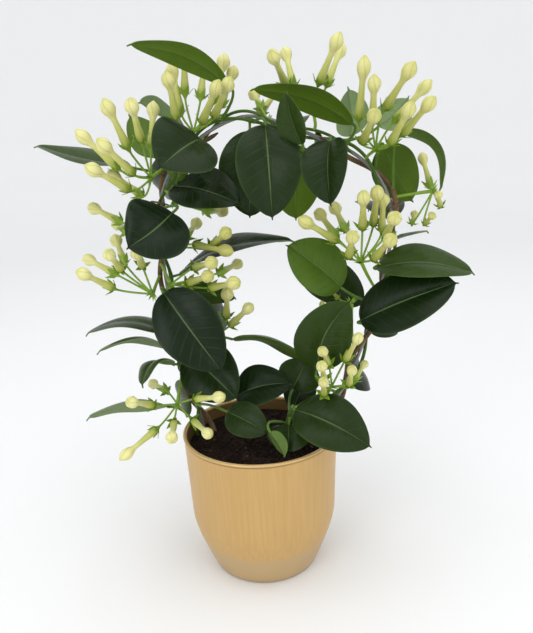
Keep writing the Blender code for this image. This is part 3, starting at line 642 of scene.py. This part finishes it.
LEAF_ROOTS = {name: (SHOOT, spec.at) for name, spec in SHOOT_LEAVES.items()}
LEAF_ROOTS |= {name: stem_facing(spec.at, spec.tip) for name, spec in HOOP_LEAVES.items()}


def tube_rings(path, radii, sides):
    """Round cross-sections along a path, with no twist between them."""
    path = np.array(path, float)
    radii = np.broadcast_to(radii, len(path))
    ways = np.gradient(path, axis=0)
    ways /= np.linalg.norm(ways, axis=1)[:, None]
    out, rings = unit(np.cross(ways[0], SIDELONG)), []
    angles = 2 * np.pi * around(sides)
    for centre, way, radius in zip(path, ways, radii):
        out = unit(out - (out @ way) * way)
        across = np.cross(way, out)
        rings.append(
            centre + radius * (np.outer(np.cos(angles), out) + np.outer(np.sin(angles), across)))
    return rings


def stem_finish(name, young, old, corky):
    """A stem's skin: green and smooth, or brown and corky with pale cracks."""
    stem = Finish(name, Specular_IOR_Level=0.2)
    fibres = stem.noise(stem.stretched((600, 600, 90)), 1.0, 4.0, 0.6)
    patches = stem.noise(stem.place(), 55.0, 3.0)
    colour = stem.mix(stem.between(patches, 0.60 - 0.25 * corky, 0.80 - 0.2 * corky), young, old)
    colour = stem.mix(stem.between(fibres, 0.58, 0.75) * (0.25 + 0.35 * corky), colour,
                      (0.30, 0.23, 0.14))
    return stem.wear(Base_Color=colour, Roughness=0.45 + 0.3 * fibres * (0.4 + corky),
                     Normal=stem.bump(fibres, 0.0002 + 0.0006 * corky))


green_stem = stem_finish("green stem", (0.060, 0.130, 0.015), (0.10, 0.090, 0.030), 0.15)
woody_stem = stem_finish("woody stem", (0.085, 0.058, 0.024), (0.190, 0.115, 0.055), 1.0)


def stem_radii(name, stations, thick, thin):
    """Radii that taper to the tip and swell at each leaf's joint."""
    radii = np.linspace(thick, thin, len(stations))
    swelling = YOUNG_SWELLING if thick < 2 else OLD_SWELLING
    for on, at in LEAF_ROOTS.values():
        if on == name:
            radii = radii * (1 + swelling * np.exp(-(((stations - at) / JOINT_LENGTH) ** 2)))
    radii[-len(STEM_TIP):] *= STEM_TIP
    return radii


def stem_piece(name, path, stations, thick, thin, finish):
    """A stem's finished object, along a path with a point at each station."""
    stem = Growth()
    stem.add(tube_rings(path, stem_radii(name, stations, thick, thin), STEM_SIDES),
             around(STEM_SIDES), stations / 100)
    piece(f"{name}_stem", stem, [finish], "leaves", name)


for vine, (begin, end, _, thick, thin) in VINES.items():
    stations = np.linspace(begin, end, round(abs(end - begin) / STEM_STEP) + 1)
    stem_piece(vine, [twine_point(vine, s) for s in stations], stations, thick, thin,
               woody_stem if "woody" in vine else green_stem)
stations = np.arange(0.0, len(SHOOT_PATH) - 1, SHOOT_STEP)
stem_piece(SHOOT, [on_path(SHOOT_PATH, s)[0] for s in stations], stations, *SHOOT_RADII,
           green_stem)

# The leaves: thick, leathery ovals on short stalks, with a small hooked tip. They are dark
# and glossy above with a pale midrib, and yellow-green or greyish below; each is one growth
# with the joint of its stem. Young ones are lighter.
# A blade that isn't turned faces this way, to the front and a little up.
FRONT = (0.0, -0.957, 0.29)
# The stalk runs a little below the blade's upper side.
PETIOLE_RADIUS, PETIOLE_RINGS, PETIOLE_DROP = 1.0, 9, 0.9
# The blade thins towards its margins and thickens along its midrib.
LEAF_THICKNESS, MARGIN_THINNING, MIDRIB_THICKNESS, MIDRIB_WIDTH = 1.0, 0.60, 0.5, 0.08
# Where half the blade is narrower than this, its midrib, groove and ripple are less too.
FULL_HALF_WIDTH = 8
# The dish of each half, the groove over the midrib, and the ripple of the margins.
DISH, GROOVE_DEPTH, GROOVE_WIDTH, RIPPLES = 0.075, 0.35, 0.09, 2.6
# Shares of the blade's length where its small tip and its hook start, and the hook's depth.
TIP_FROM, HOOK_FROM, HOOK_DEPTH = 0.965, 0.93, 2.5
# Where the blade has its rings, along its length, and its points across.
BLADE = np.concatenate([[0.004, 0.012, 0.025, 0.045, 0.07], np.linspace(0.10, 0.90, 17),
                        [0.925, 0.945, 0.96, 0.972, 0.985, 1.0]])
ACROSS = np.linspace(-1, 1, 13)
# How light each leaf is above, and how grey it is below; the others are dark and green.
LEAF_TONES = {
    "right_young": (0.90, 0.2), "shoot_small": (1.0, 0.3), "crown_upright": (0.25, 0.0),
    "left_arched_low": (0.30, 0.9), "left_lowest": (0.35, 1.0), "right_small_back": (0.3, 0.9),
    "left_far": (0.35, 0.7), "left_arched_high": (0.30, 0.8), "left_curled": (0.35, 0.4),
    "right_long": (0.36, 0.1), "crown_back_left": (0.3, 0.6), "crown_far_right": (0.3, 0.9),
    "crown_back_right": (0.3, 0.8), "crown_left": (0.3, 0.05), "crown_right": (0.3, 0.0),
    "left_inward": (0.10, 0.2), "shoot_right": (0.14, 0.2), "curtain_back_right": (0.5, 0.0),
    "left_small_round": (0.75, 0.1), "low_inward": (0.40, 0.1), "shoulder_right": (0.3, 0.3),
    "left_big": (0.0, 0.1), "left_heart": (0.0, 0.1), "right_dark": (0.02, 0.1),
    "left_rising": (0.3, 0.15), "arch_right": (0.4, 0.05), "curtain_back_left": (0.15, 0.1),
    "right_upright": (0.25, 0.1), "left_small_back": (0.4, 0.1), "left_back_low": (0.3, 0.2),
}


def blade_half_width(q, width):
    """Half the blade's width at q of its length: an oval with a small pointed tip."""
    if q < TIP_FROM:
        return max(0.9, width / 2 * math.sin(math.pi * (q / TIP_FROM) ** 0.85) ** 0.57)
    return 0.35 + 0.55 * (1 - q) / (1 - TIP_FROM)


def bent(t, start, bend, end):
    """The point at t of a stalk that runs from start to end and is pulled towards bend."""
    return (1 - t) ** 2 * start + 2 * t * (1 - t) * bend + t**2 * end


def grow_leaf(growth, name, root, spec):
    """A leaf from its stem to its hooked tip, stalk included."""
    draw = random.Random(name)
    phase, ripple = draw.uniform(0, 6.28), draw.uniform(0.5, 1.3)
    tone, grey = LEAF_TONES.get(name, (draw.uniform(0.0, 0.2), draw.uniform(0.0, 0.2)))
    root, tip = np.array(root, float), np.array(spec.tip, float)
    base = root + spec.petiole * unit(tip - root)
    if spec.neck:
        base = np.array(spec.neck, float)
    length = np.linalg.norm(tip - base)
    chord = (tip - base) / length
    front = np.array(FRONT)
    flat = unit(front - (front @ chord) * chord)
    turn, fold = math.radians(spec.turn), math.radians(spec.fold)
    face = math.cos(turn) * flat + math.sin(turn) * np.cross(flat, chord)
    beside = np.cross(chord, face)

    def middle(q):
        """The middle of the blade's upper side at q of its length."""
        hook = HOOK_DEPTH * min(max((q - HOOK_FROM) / (1 - HOOK_FROM), 0.0), 1.0) ** 2
        arch = spec.bow * length * math.sin(math.pi * q**0.9)
        aside = spec.sway * length * math.sin(math.pi * q)
        return base + chord * length * q + face * (arch - hook) + beside * aside

    rings, along = [], []
    bend = base - 0.4 * np.linalg.norm(base - root) * chord
    across, round_it = beside, np.pi * (1 - (ACROSS + 1) / 2)
    for t in np.linspace(1, 0, PETIOLE_RINGS):
        centre = bent(t, root, bend, base)
        way = unit((1 - t) * (bend - root) + t * (base - bend))
        across = unit(across - (across @ way) * way)
        normal = np.cross(across, way)
        width = PETIOLE_RADIUS * (1 + 0.35 * (1 - t) ** 3 + 0.15 * t**3)
        core = centre - PETIOLE_DROP * normal
        half = [core + width * (math.cos(a) * across + math.sin(a) * normal) for a in round_it]
        under = [core + width * (math.cos(a) * across - math.sin(a) * normal) for a in round_it]
        rings.insert(0, np.array(half + under[::-1]))
        along.insert(0, -0.08 * (1 - t))
    side = np.abs(ACROSS)
    for q in BLADE:
        way = unit(middle(min(q + 0.01, 1.0)) - middle(max(q - 0.01, 0.0)))
        normal = unit(face - (face @ way) * way)
        across = np.cross(way, normal)
        half = blade_half_width(q, spec.width)
        full = min(1.0, half / FULL_HALF_WIDTH)
        turns = RIPPLES * math.pi * q + phase + 1.3 * np.sign(ACROSS)
        wave = ripple * full * np.sin(turns) * side**3
        rise = half * (side * math.sin(fold) + DISH * np.sin(np.pi * side))
        rise = rise + wave - GROOVE_DEPTH * full * np.exp(-((ACROSS / GROOVE_WIDTH) ** 2))
        top = (middle(q) + np.outer(ACROSS * half * math.cos(fold), across)
               + np.outer(rise, normal))
        thick = (LEAF_THICKNESS * (1 - MARGIN_THINNING * ACROSS**2)
                 + MIDRIB_THICKNESS * full * np.exp(-((ACROSS / MIDRIB_WIDTH) ** 2)))
        rings.append(np.concatenate([top, (top - np.outer(thick, normal))[::-1]]))
        along.append(q)
    u = np.concatenate([0.5 + 0.5 * ACROSS, 0.5 + 0.5 * ACROSS[::-1]])
    looks = np.array([0] * (len(ACROSS) - 1) + [1] * (len(ACROSS) + 1))
    growth.add(rings, u, along, looks, tone=tone, grey=grey)


def blade_marks(finish):
    """Masks of a blade's midrib, side veins and margin, from its own coordinates."""
    u, v, _ = finish.parts(finish.node("ShaderNodeUVMap", {"uv_map": "UVMap"}))
    side = abs(u - 0.5) * 2
    midrib = finish.between(side, 0.046 - 0.024 * v, 0.010)
    lines = finish.maths("COSINE", (v - 0.20 * side**0.8) * (2 * math.pi * 9))
    veins = finish.between(lines, 0.86, 1.0) * finish.between(side, 0.95, 0.6)
    margin = finish.between(side, 0.90, 0.99)
    stalk = finish.between(v, 0.02, -0.01)
    return midrib, veins, margin, stalk


top = Finish("leaf top", Specular_IOR_Level=0.18)
midrib, veins, margin, stalk = blade_marks(top)
mottle = top.noise(top.place(), 70.0, 4.0)
grain = top.noise(top.place(), 900.0, 2.0)
top_colour = top.mix(top.number("tone"), (0.0045, 0.0130, 0.0028), (0.085, 0.160, 0.012))
top_colour = top.mix(mottle * 0.25, top_colour, (0.010, 0.026, 0.005))
top_colour = top.mix(veins * 0.14, top_colour, (0.040, 0.080, 0.022))
top_colour = top.mix(margin * 0.35, top_colour, (0.040, 0.080, 0.016))
top_colour = top.mix(midrib * 0.60, top_colour, (0.130, 0.210, 0.070))
leaf_top = top.wear(
    Base_Color=top.mix(stalk, top_colour, (0.10, 0.19, 0.025)),
    Roughness=0.24 + 0.16 * mottle,
    Normal=top.bump(mottle * 0.8 + grain * 0.10 - veins * 0.30 - midrib * 0.3, 0.0009, 0.6),
)
under = Finish("leaf underside", Specular_IOR_Level=0.15)
midrib, veins, margin, stalk = blade_marks(under)
mottle = under.noise(under.place(), 80.0, 4.0)
under_colour = under.mix(under.number("grey"), (0.088, 0.158, 0.008), (0.22, 0.30, 0.15))
under_colour = under.mix(mottle * 0.4, under_colour, (0.050, 0.098, 0.008))
under_colour = under.mix(veins * 0.15, under_colour, (0.11, 0.17, 0.03))
under_colour = under.mix(midrib * 0.5, under_colour, (0.14, 0.22, 0.05))
leaf_under = under.wear(
    Base_Color=under.mix(stalk, under_colour, (0.10, 0.19, 0.025)),
    Roughness=0.50 + 0.15 * mottle,
    Normal=under.bump(mottle * 0.4 + veins * 0.3 + midrib * 0.6, 0.0006, 0.6),
)
for vine in (*VINES, SHOOT):
    leaves = Growth()
    for name, spec in {**HOOP_LEAVES, **SHOOT_LEAVES}.items():
        on, at = LEAF_ROOTS[name]
        if on == vine:
            root = on_path(SHOOT_PATH, at)[0] if vine == SHOOT else twine_point(vine, at)
            grow_leaf(leaves, name, root, spec)
    piece(f"{vine}_leaves", leaves, [leaf_top, leaf_under], "leaves", vine)

# The ties: short ends of brown coated wire. Each is wound just over once round the hoop
# and its vines, and holds them together.
TIES = {"tie_left": 272, "tie_top": 406, "tie_right": 522}
TIE_RADIUS, TIE_WIRE, TIE_TURNS, TIE_RISE, TIE_POINTS = 8.0, 0.6, 1.08, 3.2, 72
coated = Finish("brown coated wire")
fibre = coated.noise(coated.place(), 700.0, 3.0)
coated_finish = coated.wear(
    Base_Color=coated.mix(fibre, (0.085, 0.040, 0.022), (0.20, 0.11, 0.065)),
    Roughness=0.55 + 0.2 * fibre, Normal=coated.bump(fibre, 0.0002))
for name, station in TIES.items():
    centre, along = on_path(HOOP, station)
    inward = unit(np.cross((0, 1, 0), along))
    back = np.cross(along, inward)
    turns = 2 * math.pi * (np.linspace(0, TIE_TURNS, TIE_POINTS) - 0.25)
    loop = [centre + TIE_RADIUS * (math.cos(a) * inward + math.sin(a) * back)
            + along * (TIE_RISE * (a / (2 * math.pi) + 0.25) - TIE_RISE / 2) for a in turns]
    wire_piece(f"{name}_wire", loop, TIE_WIRE, 10, coated_finish, "tie", name)

# The bud clusters: umbels of waxy cream buds, each a slim tube with a plump pointed head of
# twisted petals, in a star of five green sepals on a green stalk. Each umbel grows from the
# vine on a short stem of its own. The ones inside are still greenish, and darker with painted
# shade.
HEAD_RADIUS, STALK_RADIUS, SEPAL_LENGTH = 5.5, 0.8, 7.4
STALK_SIDES, STALK_RINGS, BUD_SIDES = 8, 14, 15
# Buds shorter than this are slimmer too, and below the second length have shorter sepals.
FULL_BUD, FULL_SEPALS = 38, 30
# How many sepals a bud and bracts an umbel has, and half their widths.
SEPALS, BRACTS, SEPAL_HALF, BRACT_HALF = 5, 8, 1.75, 1.2
UMBEL_STEM_RADII = (1.05, 1.5)
# The head starts at this share of the bud, softly five-sided along its petals' edges.
HEAD_FROM, PETALS, PETAL_RIDGE, PETAL_TWIST = 0.60, 5, 0.045, 2.2
# Each umbel's station along the hoop (none on the shoot), hub, how greenish and how darkened by
# painted shade it is, and the calyx and tip of each of its buds.
CLUSTERS = {
    "umbel_crown_left": (350, (-41, 20, 377), 0.45, [
        ((-53, 13, 387), (-55, -7, 422)), ((-50, 24, 391), (-56, 29, 431)),
        ((-46, 24, 405), (-45, 36, 444)), ((-34, 25, 402), (-30, 48, 436)),
        ((-33, 6, 383), (-16, -17, 413)), ((-24, 17, 387), (-8, -8, 415)),
        ((-24, 26, 399), (-13, 42, 436)), ((-19, 27, 395), (-6, 49, 427))]),
    "umbel_left_high": (300, (-75, 2, 344), 0.25, [
        ((-89, -6, 367), (-101, -19, 404)), ((-79, -4, 372), (-80, -30, 403)),
        ((-74, 7, 365), (-71, 23, 402)), ((-100, 3, 352), (-130, 3, 383)),
        ((-86, -10, 348), (-106, -32, 376)), ((-91, -6, 336), (-118, -28, 358)),
        ((-84, 6, 330), (-114, 26, 349))]),
    "umbel_left_outer": (252, (-89, 12, 300), 0.2, [
        ((-105, 14, 309), (-136, 37, 321)), ((-103, 21, 300), (-120, 59, 302))]),
    "umbel_left_middle": (200, (-83, 3, 250), 0.2, [
        ((-105, 11, 276), (-119, 45, 293)), ((-105, -4, 273), (-107, -38, 295)),
        ((-112, 7, 267), (-144, 30, 279)), ((-112, -8, 259), (-132, -36, 281)),
        ((-89, 2, 274), (-86, -34, 294))]),
    "umbel_inner_high": (240, (-62, 5, 288), 0.7, [
        ((-54, 19, 293), (-46, 58, 301)), ((-31, -2, 289), (-15, -34, 306)),
        ((-46, 1, 290), (-13, -23, 287))]),
    "umbel_inner_low": (210, (-66, -8, 260), 0.6, [
        ((-46, -8, 273), (-26, -42, 284)), ((-27, 5, 265), (-10, 42, 265)),
        ((-52, -9, 261), (-29, -41, 274)), ((-34, -13, 257), (-9, -43, 268))]),
    "umbel_inner_bottom": (170, (-38, 24, 202), 0.35, [
        ((-22, 24, 213), (-1, 0, 238)), ((-25, 26, 220), (-21, 2, 252))]),
    "umbel_left_low": (120, (-69, -10, 156), 0.1, [
        ((-88, -17, 159), (-102, -50, 178)), ((-85, -26, 142), (-112, -55, 130)),
        ((-71, -23, 146), (-68, -64, 149)), ((-56, -18, 144), (-38, -55, 147)),
        ((-52, -24, 166), (-25, -54, 180)), ((-79, 1, 164), (-99, 36, 158))]),
    "umbel_right_high": (584, (86, -20, 274), 0.5, [
        ((68, -20, 291), (37, -35, 313)), ((68, -9, 293), (56, 26, 310)),
        ((76, -6, 297), (70, 30, 314)), ((75, -31, 281), (74, -64, 305)),
        ((87, -21, 300), (84, -47, 332)), ((97, -11, 301), (96, -36, 334)),
        ((103, -14, 296), (103, -22, 327)), ((104, -25, 294), (105, -60, 316)),
        ((93, -35, 279), (102, -68, 302))]),
    "umbel_crown_right": (492, (100, -4, 358), 0.45, [
        ((87, -4, 380), (89, -21, 425)), ((96, -12, 377), (94, -32, 411)),
        ((88, -14, 364), (93, -48, 387)), ((105, -11, 387), (122, -34, 418)),
        ((114, -2, 378), (143, 1, 407)), ((108, -18, 362), (119, -45, 391)),
        ((118, -12, 368), (136, -38, 394))]),
    "umbel_crown": (428, (54, 24, 391), 0.4, [
        ((34, 19, 408), (22, -12, 432)), ((40, 29, 408), (35, 54, 440)),
        ((59, 19, 408), (75, 5, 444)), ((66, 26, 407), (82, 45, 440))]),
    "umbel_crown_back": (388, (19, 42, 383), 0.4, [
        ((14, 55, 393), (7, 92, 408)), ((12, 57, 388), (32, 83, 411))]),
    "umbel_right_outer": (530, (146, 0, 324), 0.6, [
        ((149, 18, 325), (148, 50, 351)), ((149, -12, 313), (143, -26, 326)),
        ((138, -8, 299), (142, -20, 309)), ((131, 5, 298), (137, 20, 305))]),
    "umbel_inner_top": (290, (-60, 12, 324), 0.8, [
        ((-42, 15, 333), (-28, 47, 356)), ((-36, 14, 315), (-21, 52, 309))]),
    "umbel_right_young": (650, (81, -2, 236), 0.7, [
        ((63, -4, 235), (54, -9, 238)), ((72, 13, 236), (65, 20, 242))]),
    "umbel_low_right": (None, (61, -25, 172), 0.25, [
        ((58, -32, 194), (50, -60, 218)), ((54, -36, 183), (49, -67, 209)),
        ((53, -40, 172), (50, -72, 198)), ((71, -33, 197), (80, -58, 228)),
        ((73, -40, 179), (72, -70, 206)), ((80, -22, 175), (93, -4, 185))]),
}
# How plump the heads of the young clusters are, against those of the others.
PLUMPNESS = {"umbel_low_right": 0.80, "umbel_left_low": 0.90, "umbel_right_young": 0.85,
             "umbel_right_outer": 0.85}
# Share of the bud's length and of its head's radius, from the calyx to the tip.
BUD_OUTLINE = [
    (0.0, 0.36), (0.012, 0.48), (0.04, 0.57), (0.09, 0.63), (0.16, 0.62), (0.24, 0.56),
    (0.32, 0.50), (0.41, 0.45), (0.50, 0.415), (0.57, 0.41), (0.62, 0.45), (0.66, 0.55),
    (0.70, 0.70), (0.74, 0.84), (0.78, 0.94), (0.82, 0.97), (0.86, 0.92), (0.895, 0.81),
    (0.925, 0.65), (0.95, 0.48), (0.975, 0.30), (0.99, 0.18), (1.0, 0.05),
]


def grow_bud(growth, hub, calyx, tip, tone, plump, draw):
    """A bud from its hub: stalk, sepals and body."""
    hub, calyx, tip = (np.array(p, float) for p in (hub, calyx, tip))
    aim, length = unit(tip - calyx), np.linalg.norm(tip - calyx)
    size = min(1.0, length / FULL_BUD)
    out = unit(np.cross(aim, SIDELONG))
    across = np.cross(aim, out)
    bend = calyx - 0.30 * np.linalg.norm(calyx - hub) * aim
    path = bent(np.linspace(0, 1, STALK_RINGS)[:, None], hub, bend, calyx)
    radii = np.full(STALK_RINGS, STALK_RADIUS) * (0.8 + 0.25 * size)
    radii[-3:] = (0.95, 1.35 * size + 0.2, 2.1 * size + 0.2)
    growth.add(tube_rings(path, radii, STALK_SIDES), around(STALK_SIDES),
               np.linspace(0, 0.2, STALK_RINGS), 1, tone=tone, along=0.0)
    angles = 2 * np.pi * around(BUD_SIDES)
    swell = draw.uniform(0.92, 1.04)
    rings = []
    for f, r in BUD_OUTLINE:
        # The petals' edges twist towards the tip, and end just short of it.
        ridge = PETAL_RIDGE * min(1.0, max(0.0, (f - HEAD_FROM) / 0.1)) * (f < 0.97)
        radius = plump * HEAD_RADIUS * r * (swell if f > HEAD_FROM else 1) * (0.55 + 0.45 * size)
        edges = np.cos(PETALS * (angles + PETAL_TWIST * (f - HEAD_FROM)))
        shape = radius * (1 + ridge * edges)
        rings.append(calyx + aim * length * f + np.outer(shape * np.cos(angles), out)
                     + np.outer(shape * np.sin(angles), across))
    growth.add(rings, around(BUD_SIDES), [f for f, _ in BUD_OUTLINE], 0, tone=tone,
               along=[f for f, _ in BUD_OUTLINE])
    point = SEPAL_LENGTH * min(1.0, length / FULL_SEPALS)
    for k in range(SEPALS):
        angle = 2 * math.pi * k / SEPALS + draw.uniform(-0.12, 0.12)
        away = math.cos(angle) * out + math.sin(angle) * across
        beside = np.cross(aim, away)
        lean = draw.uniform(0.50, 0.72)
        sepal = []
        for q in (0.0, 0.25, 0.5, 0.75, 1.0):
            reach = (1.9 + 0.7 * size) * min(1, 0.5 + 2 * q) + lean * point * q
            lift = 0.2 + point * (0.95 * q - 0.18 * q * q)
            half = SEPAL_HALF * size * (1 - q**1.6) + 0.12
            middle = calyx + reach * away + lift * aim
            thick = 0.25 * away - 0.10 * aim
            sepal.append([middle - half * beside + 0.5 * half * away * 0.35, middle + thick,
                          middle + half * beside + 0.5 * half * away * 0.35, middle - thick])
        growth.add(sepal, (0, 0.25, 0.5, 0.75), np.linspace(0.3, 1, 5), 1, tone=tone, along=0.0)


waxy = Finish("waxy petal", IOR=1.42, Coat_Weight=0.12, Coat_Roughness=0.30)
length = waxy.number("along")
u, _, _ = waxy.parts(waxy.node("ShaderNodeUVMap", {"uv_map": "UVMap"}))
pores = waxy.noise(waxy.place(), 160.0, 3.0)
twist = waxy.maths("FRACT", u * PETALS + length * 1.8)
seam = waxy.between(abs(twist - 0.5), 0.40, 0.5) * waxy.between(length, 0.60, 0.72)
petal = waxy.mix(waxy.between(length, 0.0, 0.30), (0.32, 0.42, 0.045), (0.60, 0.61, 0.17))
petal = waxy.mix(waxy.between(length, 0.40, 0.75), petal, (0.84, 0.80, 0.36))
petal = waxy.mix(waxy.between(length, 0.93, 1.0) * 0.6, petal, (0.58, 0.62, 0.14))
# Greener buds are darker olive: partly their own green, partly painted shade on the clusters
# inside.
olive_and_shade = waxy.mix(waxy.between(length, 0.1, 0.8), (0.18, 0.22, 0.020), (0.44, 0.43, 0.085))
petal = waxy.mix(waxy.number("tone"), petal, olive_and_shade)
petal = waxy.mix(waxy.between(pores, 0.5, 0.75) * 0.15, petal, (0.60, 0.64, 0.18))
waxy_finish = waxy.wear(
    Base_Color=waxy.mix(seam * 0.40, petal, (0.40, 0.44, 0.08)),
    Roughness=0.38 + 0.12 * pores,
    Normal=waxy.bump(pores * 0.4 - seam, 0.0005, 0.6),
)
calyx_green = Finish("calyx green", IOR=1.45)
speck = calyx_green.noise(calyx_green.place(), 240.0, 3.0)
calyx_finish = calyx_green.wear(
    Base_Color=calyx_green.mix(speck, (0.13, 0.25, 0.014), (0.30, 0.46, 0.040)),
    Roughness=0.42 + 0.2 * speck, Normal=calyx_green.bump(speck, 0.0003))

for name, (station, hub, tone, buds) in CLUSTERS.items():
    hub = np.array(hub, float)
    if station is None:
        start, way = on_path(SHOOT_PATH, len(SHOOT_PATH) - 1)
    else:
        vine, station = stem_facing(station, hub)
        start = twine_point(vine, station)
        way = unit(twine_point(vine, station + 3) - twine_point(vine, station - 3))
    off = unit((hub - start) - ((hub - start) @ way) * way)
    path = smooth_path([start, start + 4 * off, 0.5 * (start + 6 * off + hub), hub], 2.0)
    cluster, draw = Growth(), random.Random(name)
    radii = np.linspace(*UMBEL_STEM_RADII, len(path)) + 0.5 * np.exp(-np.arange(len(path)) / 1.2)
    radii[-1] = 1.1
    cluster.add(tube_rings(path, radii, STEM_SIDES), around(STEM_SIDES),
                np.linspace(0, 1, len(path)), 1, tone=tone, along=0.0)
    for row in buds:
        shade = min(1.0, max(0.0, tone + draw.uniform(-0.15, 0.15)))
        grow_bud(cluster, hub, *row, shade, PLUMPNESS.get(name, 1.0), draw)
    # Small bracts stand round the hub, where the stalks part.
    rise = unit(path[-1] - path[-3])
    lean_out = unit(np.cross(rise, (0.2, 0.5, 0.8)))
    for k in range(BRACTS):
        angle = 2 * math.pi * k / BRACTS + draw.uniform(-0.3, 0.3)
        away = math.cos(angle) * lean_out + math.sin(angle) * np.cross(rise, lean_out)
        beside, bract = np.cross(rise, away), []
        for q in (0.0, 0.4, 0.75, 1.0):
            middle = hub + (1.0 + 4.0 * q) * away + (4.4 * q - 0.6) * rise
            half = BRACT_HALF * (1 - q**1.5) + 0.1
            bract.append([middle - half * beside, middle + 0.2 * away, middle + half * beside,
                          middle - 0.2 * away])
        cluster.add(bract, (0, 0.25, 0.5, 0.75), np.linspace(0.3, 1, 4), 1, tone=tone, along=0.0)
    piece(f"{name}_buds", cluster, [waxy_finish, calyx_finish], "buds", name)

# The stage: a plain pale floor that curves up all round into a pale wall, under soft light.
wall = Finish("pale paper", Roughness=0.9)
wall_finish = wall.wear(Base_Color=(0.90, 0.90, 0.90))
FLOOR_SIDES, FLOOR_DROP = 96, 0.0002
# Radius and height in metres, from the middle outwards.
FLOOR_OUTLINE = [(0.001, 0), (0.6, 0), (1.2, 0), (1.7, 0), (1.9, 0.02), (2.05, 0.08),
                 (2.17, 0.19), (2.25, 0.35), (2.28, 0.6), (2.3, 1.2)]
bm = bmesh.new()
rings = [[bm.verts.new((r * math.cos(a), r * math.sin(a), h - FLOOR_DROP))
          for a in 2 * np.pi * around(FLOOR_SIDES)] for r, h in FLOOR_OUTLINE]
bm.faces.new(rings[0])
skin_between(bm, rings)
bmesh.ops.recalc_face_normals(bm, faces=bm.faces)
mesh = bpy.data.meshes.new("pale_floor")
bm.to_mesh(mesh)
bm.free()
mesh.shade_smooth()
mesh.materials.append(wall_finish)
pale_floor = in_scene("pale_floor", mesh)

world = bpy.data.worlds.new("soft sky")
world.use_nodes = True
background = world.node_tree.nodes["Background"]
background.inputs["Color"].default_value = (0.96, 0.98, 1.0, 1)
background.inputs["Strength"].default_value = 0.82
bpy.context.scene.world = world


def soft_light(name, where, target, size, power):
    """A large square lamp that points at a target."""
    lamp = bpy.data.lights.new(name, "AREA")
    lamp.shape, lamp.size, lamp.energy = "SQUARE", size, power
    made = in_scene(name, lamp)
    made.location = where
    made.rotation_euler = (Vector(target) - Vector(where)).to_track_quat("-Z", "Y").to_euler()


soft_light("overhead", (0.1, -0.1, 1.7), (0, 0, 0.2), 1.6, 9)
soft_light("front left", (-0.9, -1.3, 1.0), (0, 0, 0.15), 0.9, 6)
soft_light("front right", (1.1, -1.1, 0.7), (0, 0, 0.15), 0.9, 3)

# The camera: at the photograph's viewpoint, as high as the plant's crown and tilted down
# a little.
PITCH, ROLL = math.radians(16.8), math.radians(-2.67)
VIEWPOINT, FOCAL_LENGTH = (0.0101, -0.5184, 0.3834), 36.97
level = Vector((1, 0, 0))
ahead = Vector((0, math.cos(PITCH), -math.sin(PITCH)))
upright = Vector((0, math.sin(PITCH), math.cos(PITCH)))
right = math.cos(ROLL) * level + math.sin(ROLL) * upright
above_head = math.cos(ROLL) * upright - math.sin(ROLL) * level
lens = bpy.data.cameras.new("camera")
lens.sensor_width, lens.sensor_fit, lens.lens = 36.0, "AUTO", FOCAL_LENGTH
lens.clip_start = 0.01
camera = in_scene("camera", lens)
turn = Matrix((right, above_head, -ahead)).transposed()
camera.matrix_world = Matrix.Translation(VIEWPOINT) @ turn.to_4x4()
bpy.context.scene.camera = camera
bpy.context.scene.view_settings.view_transform = "Standard"
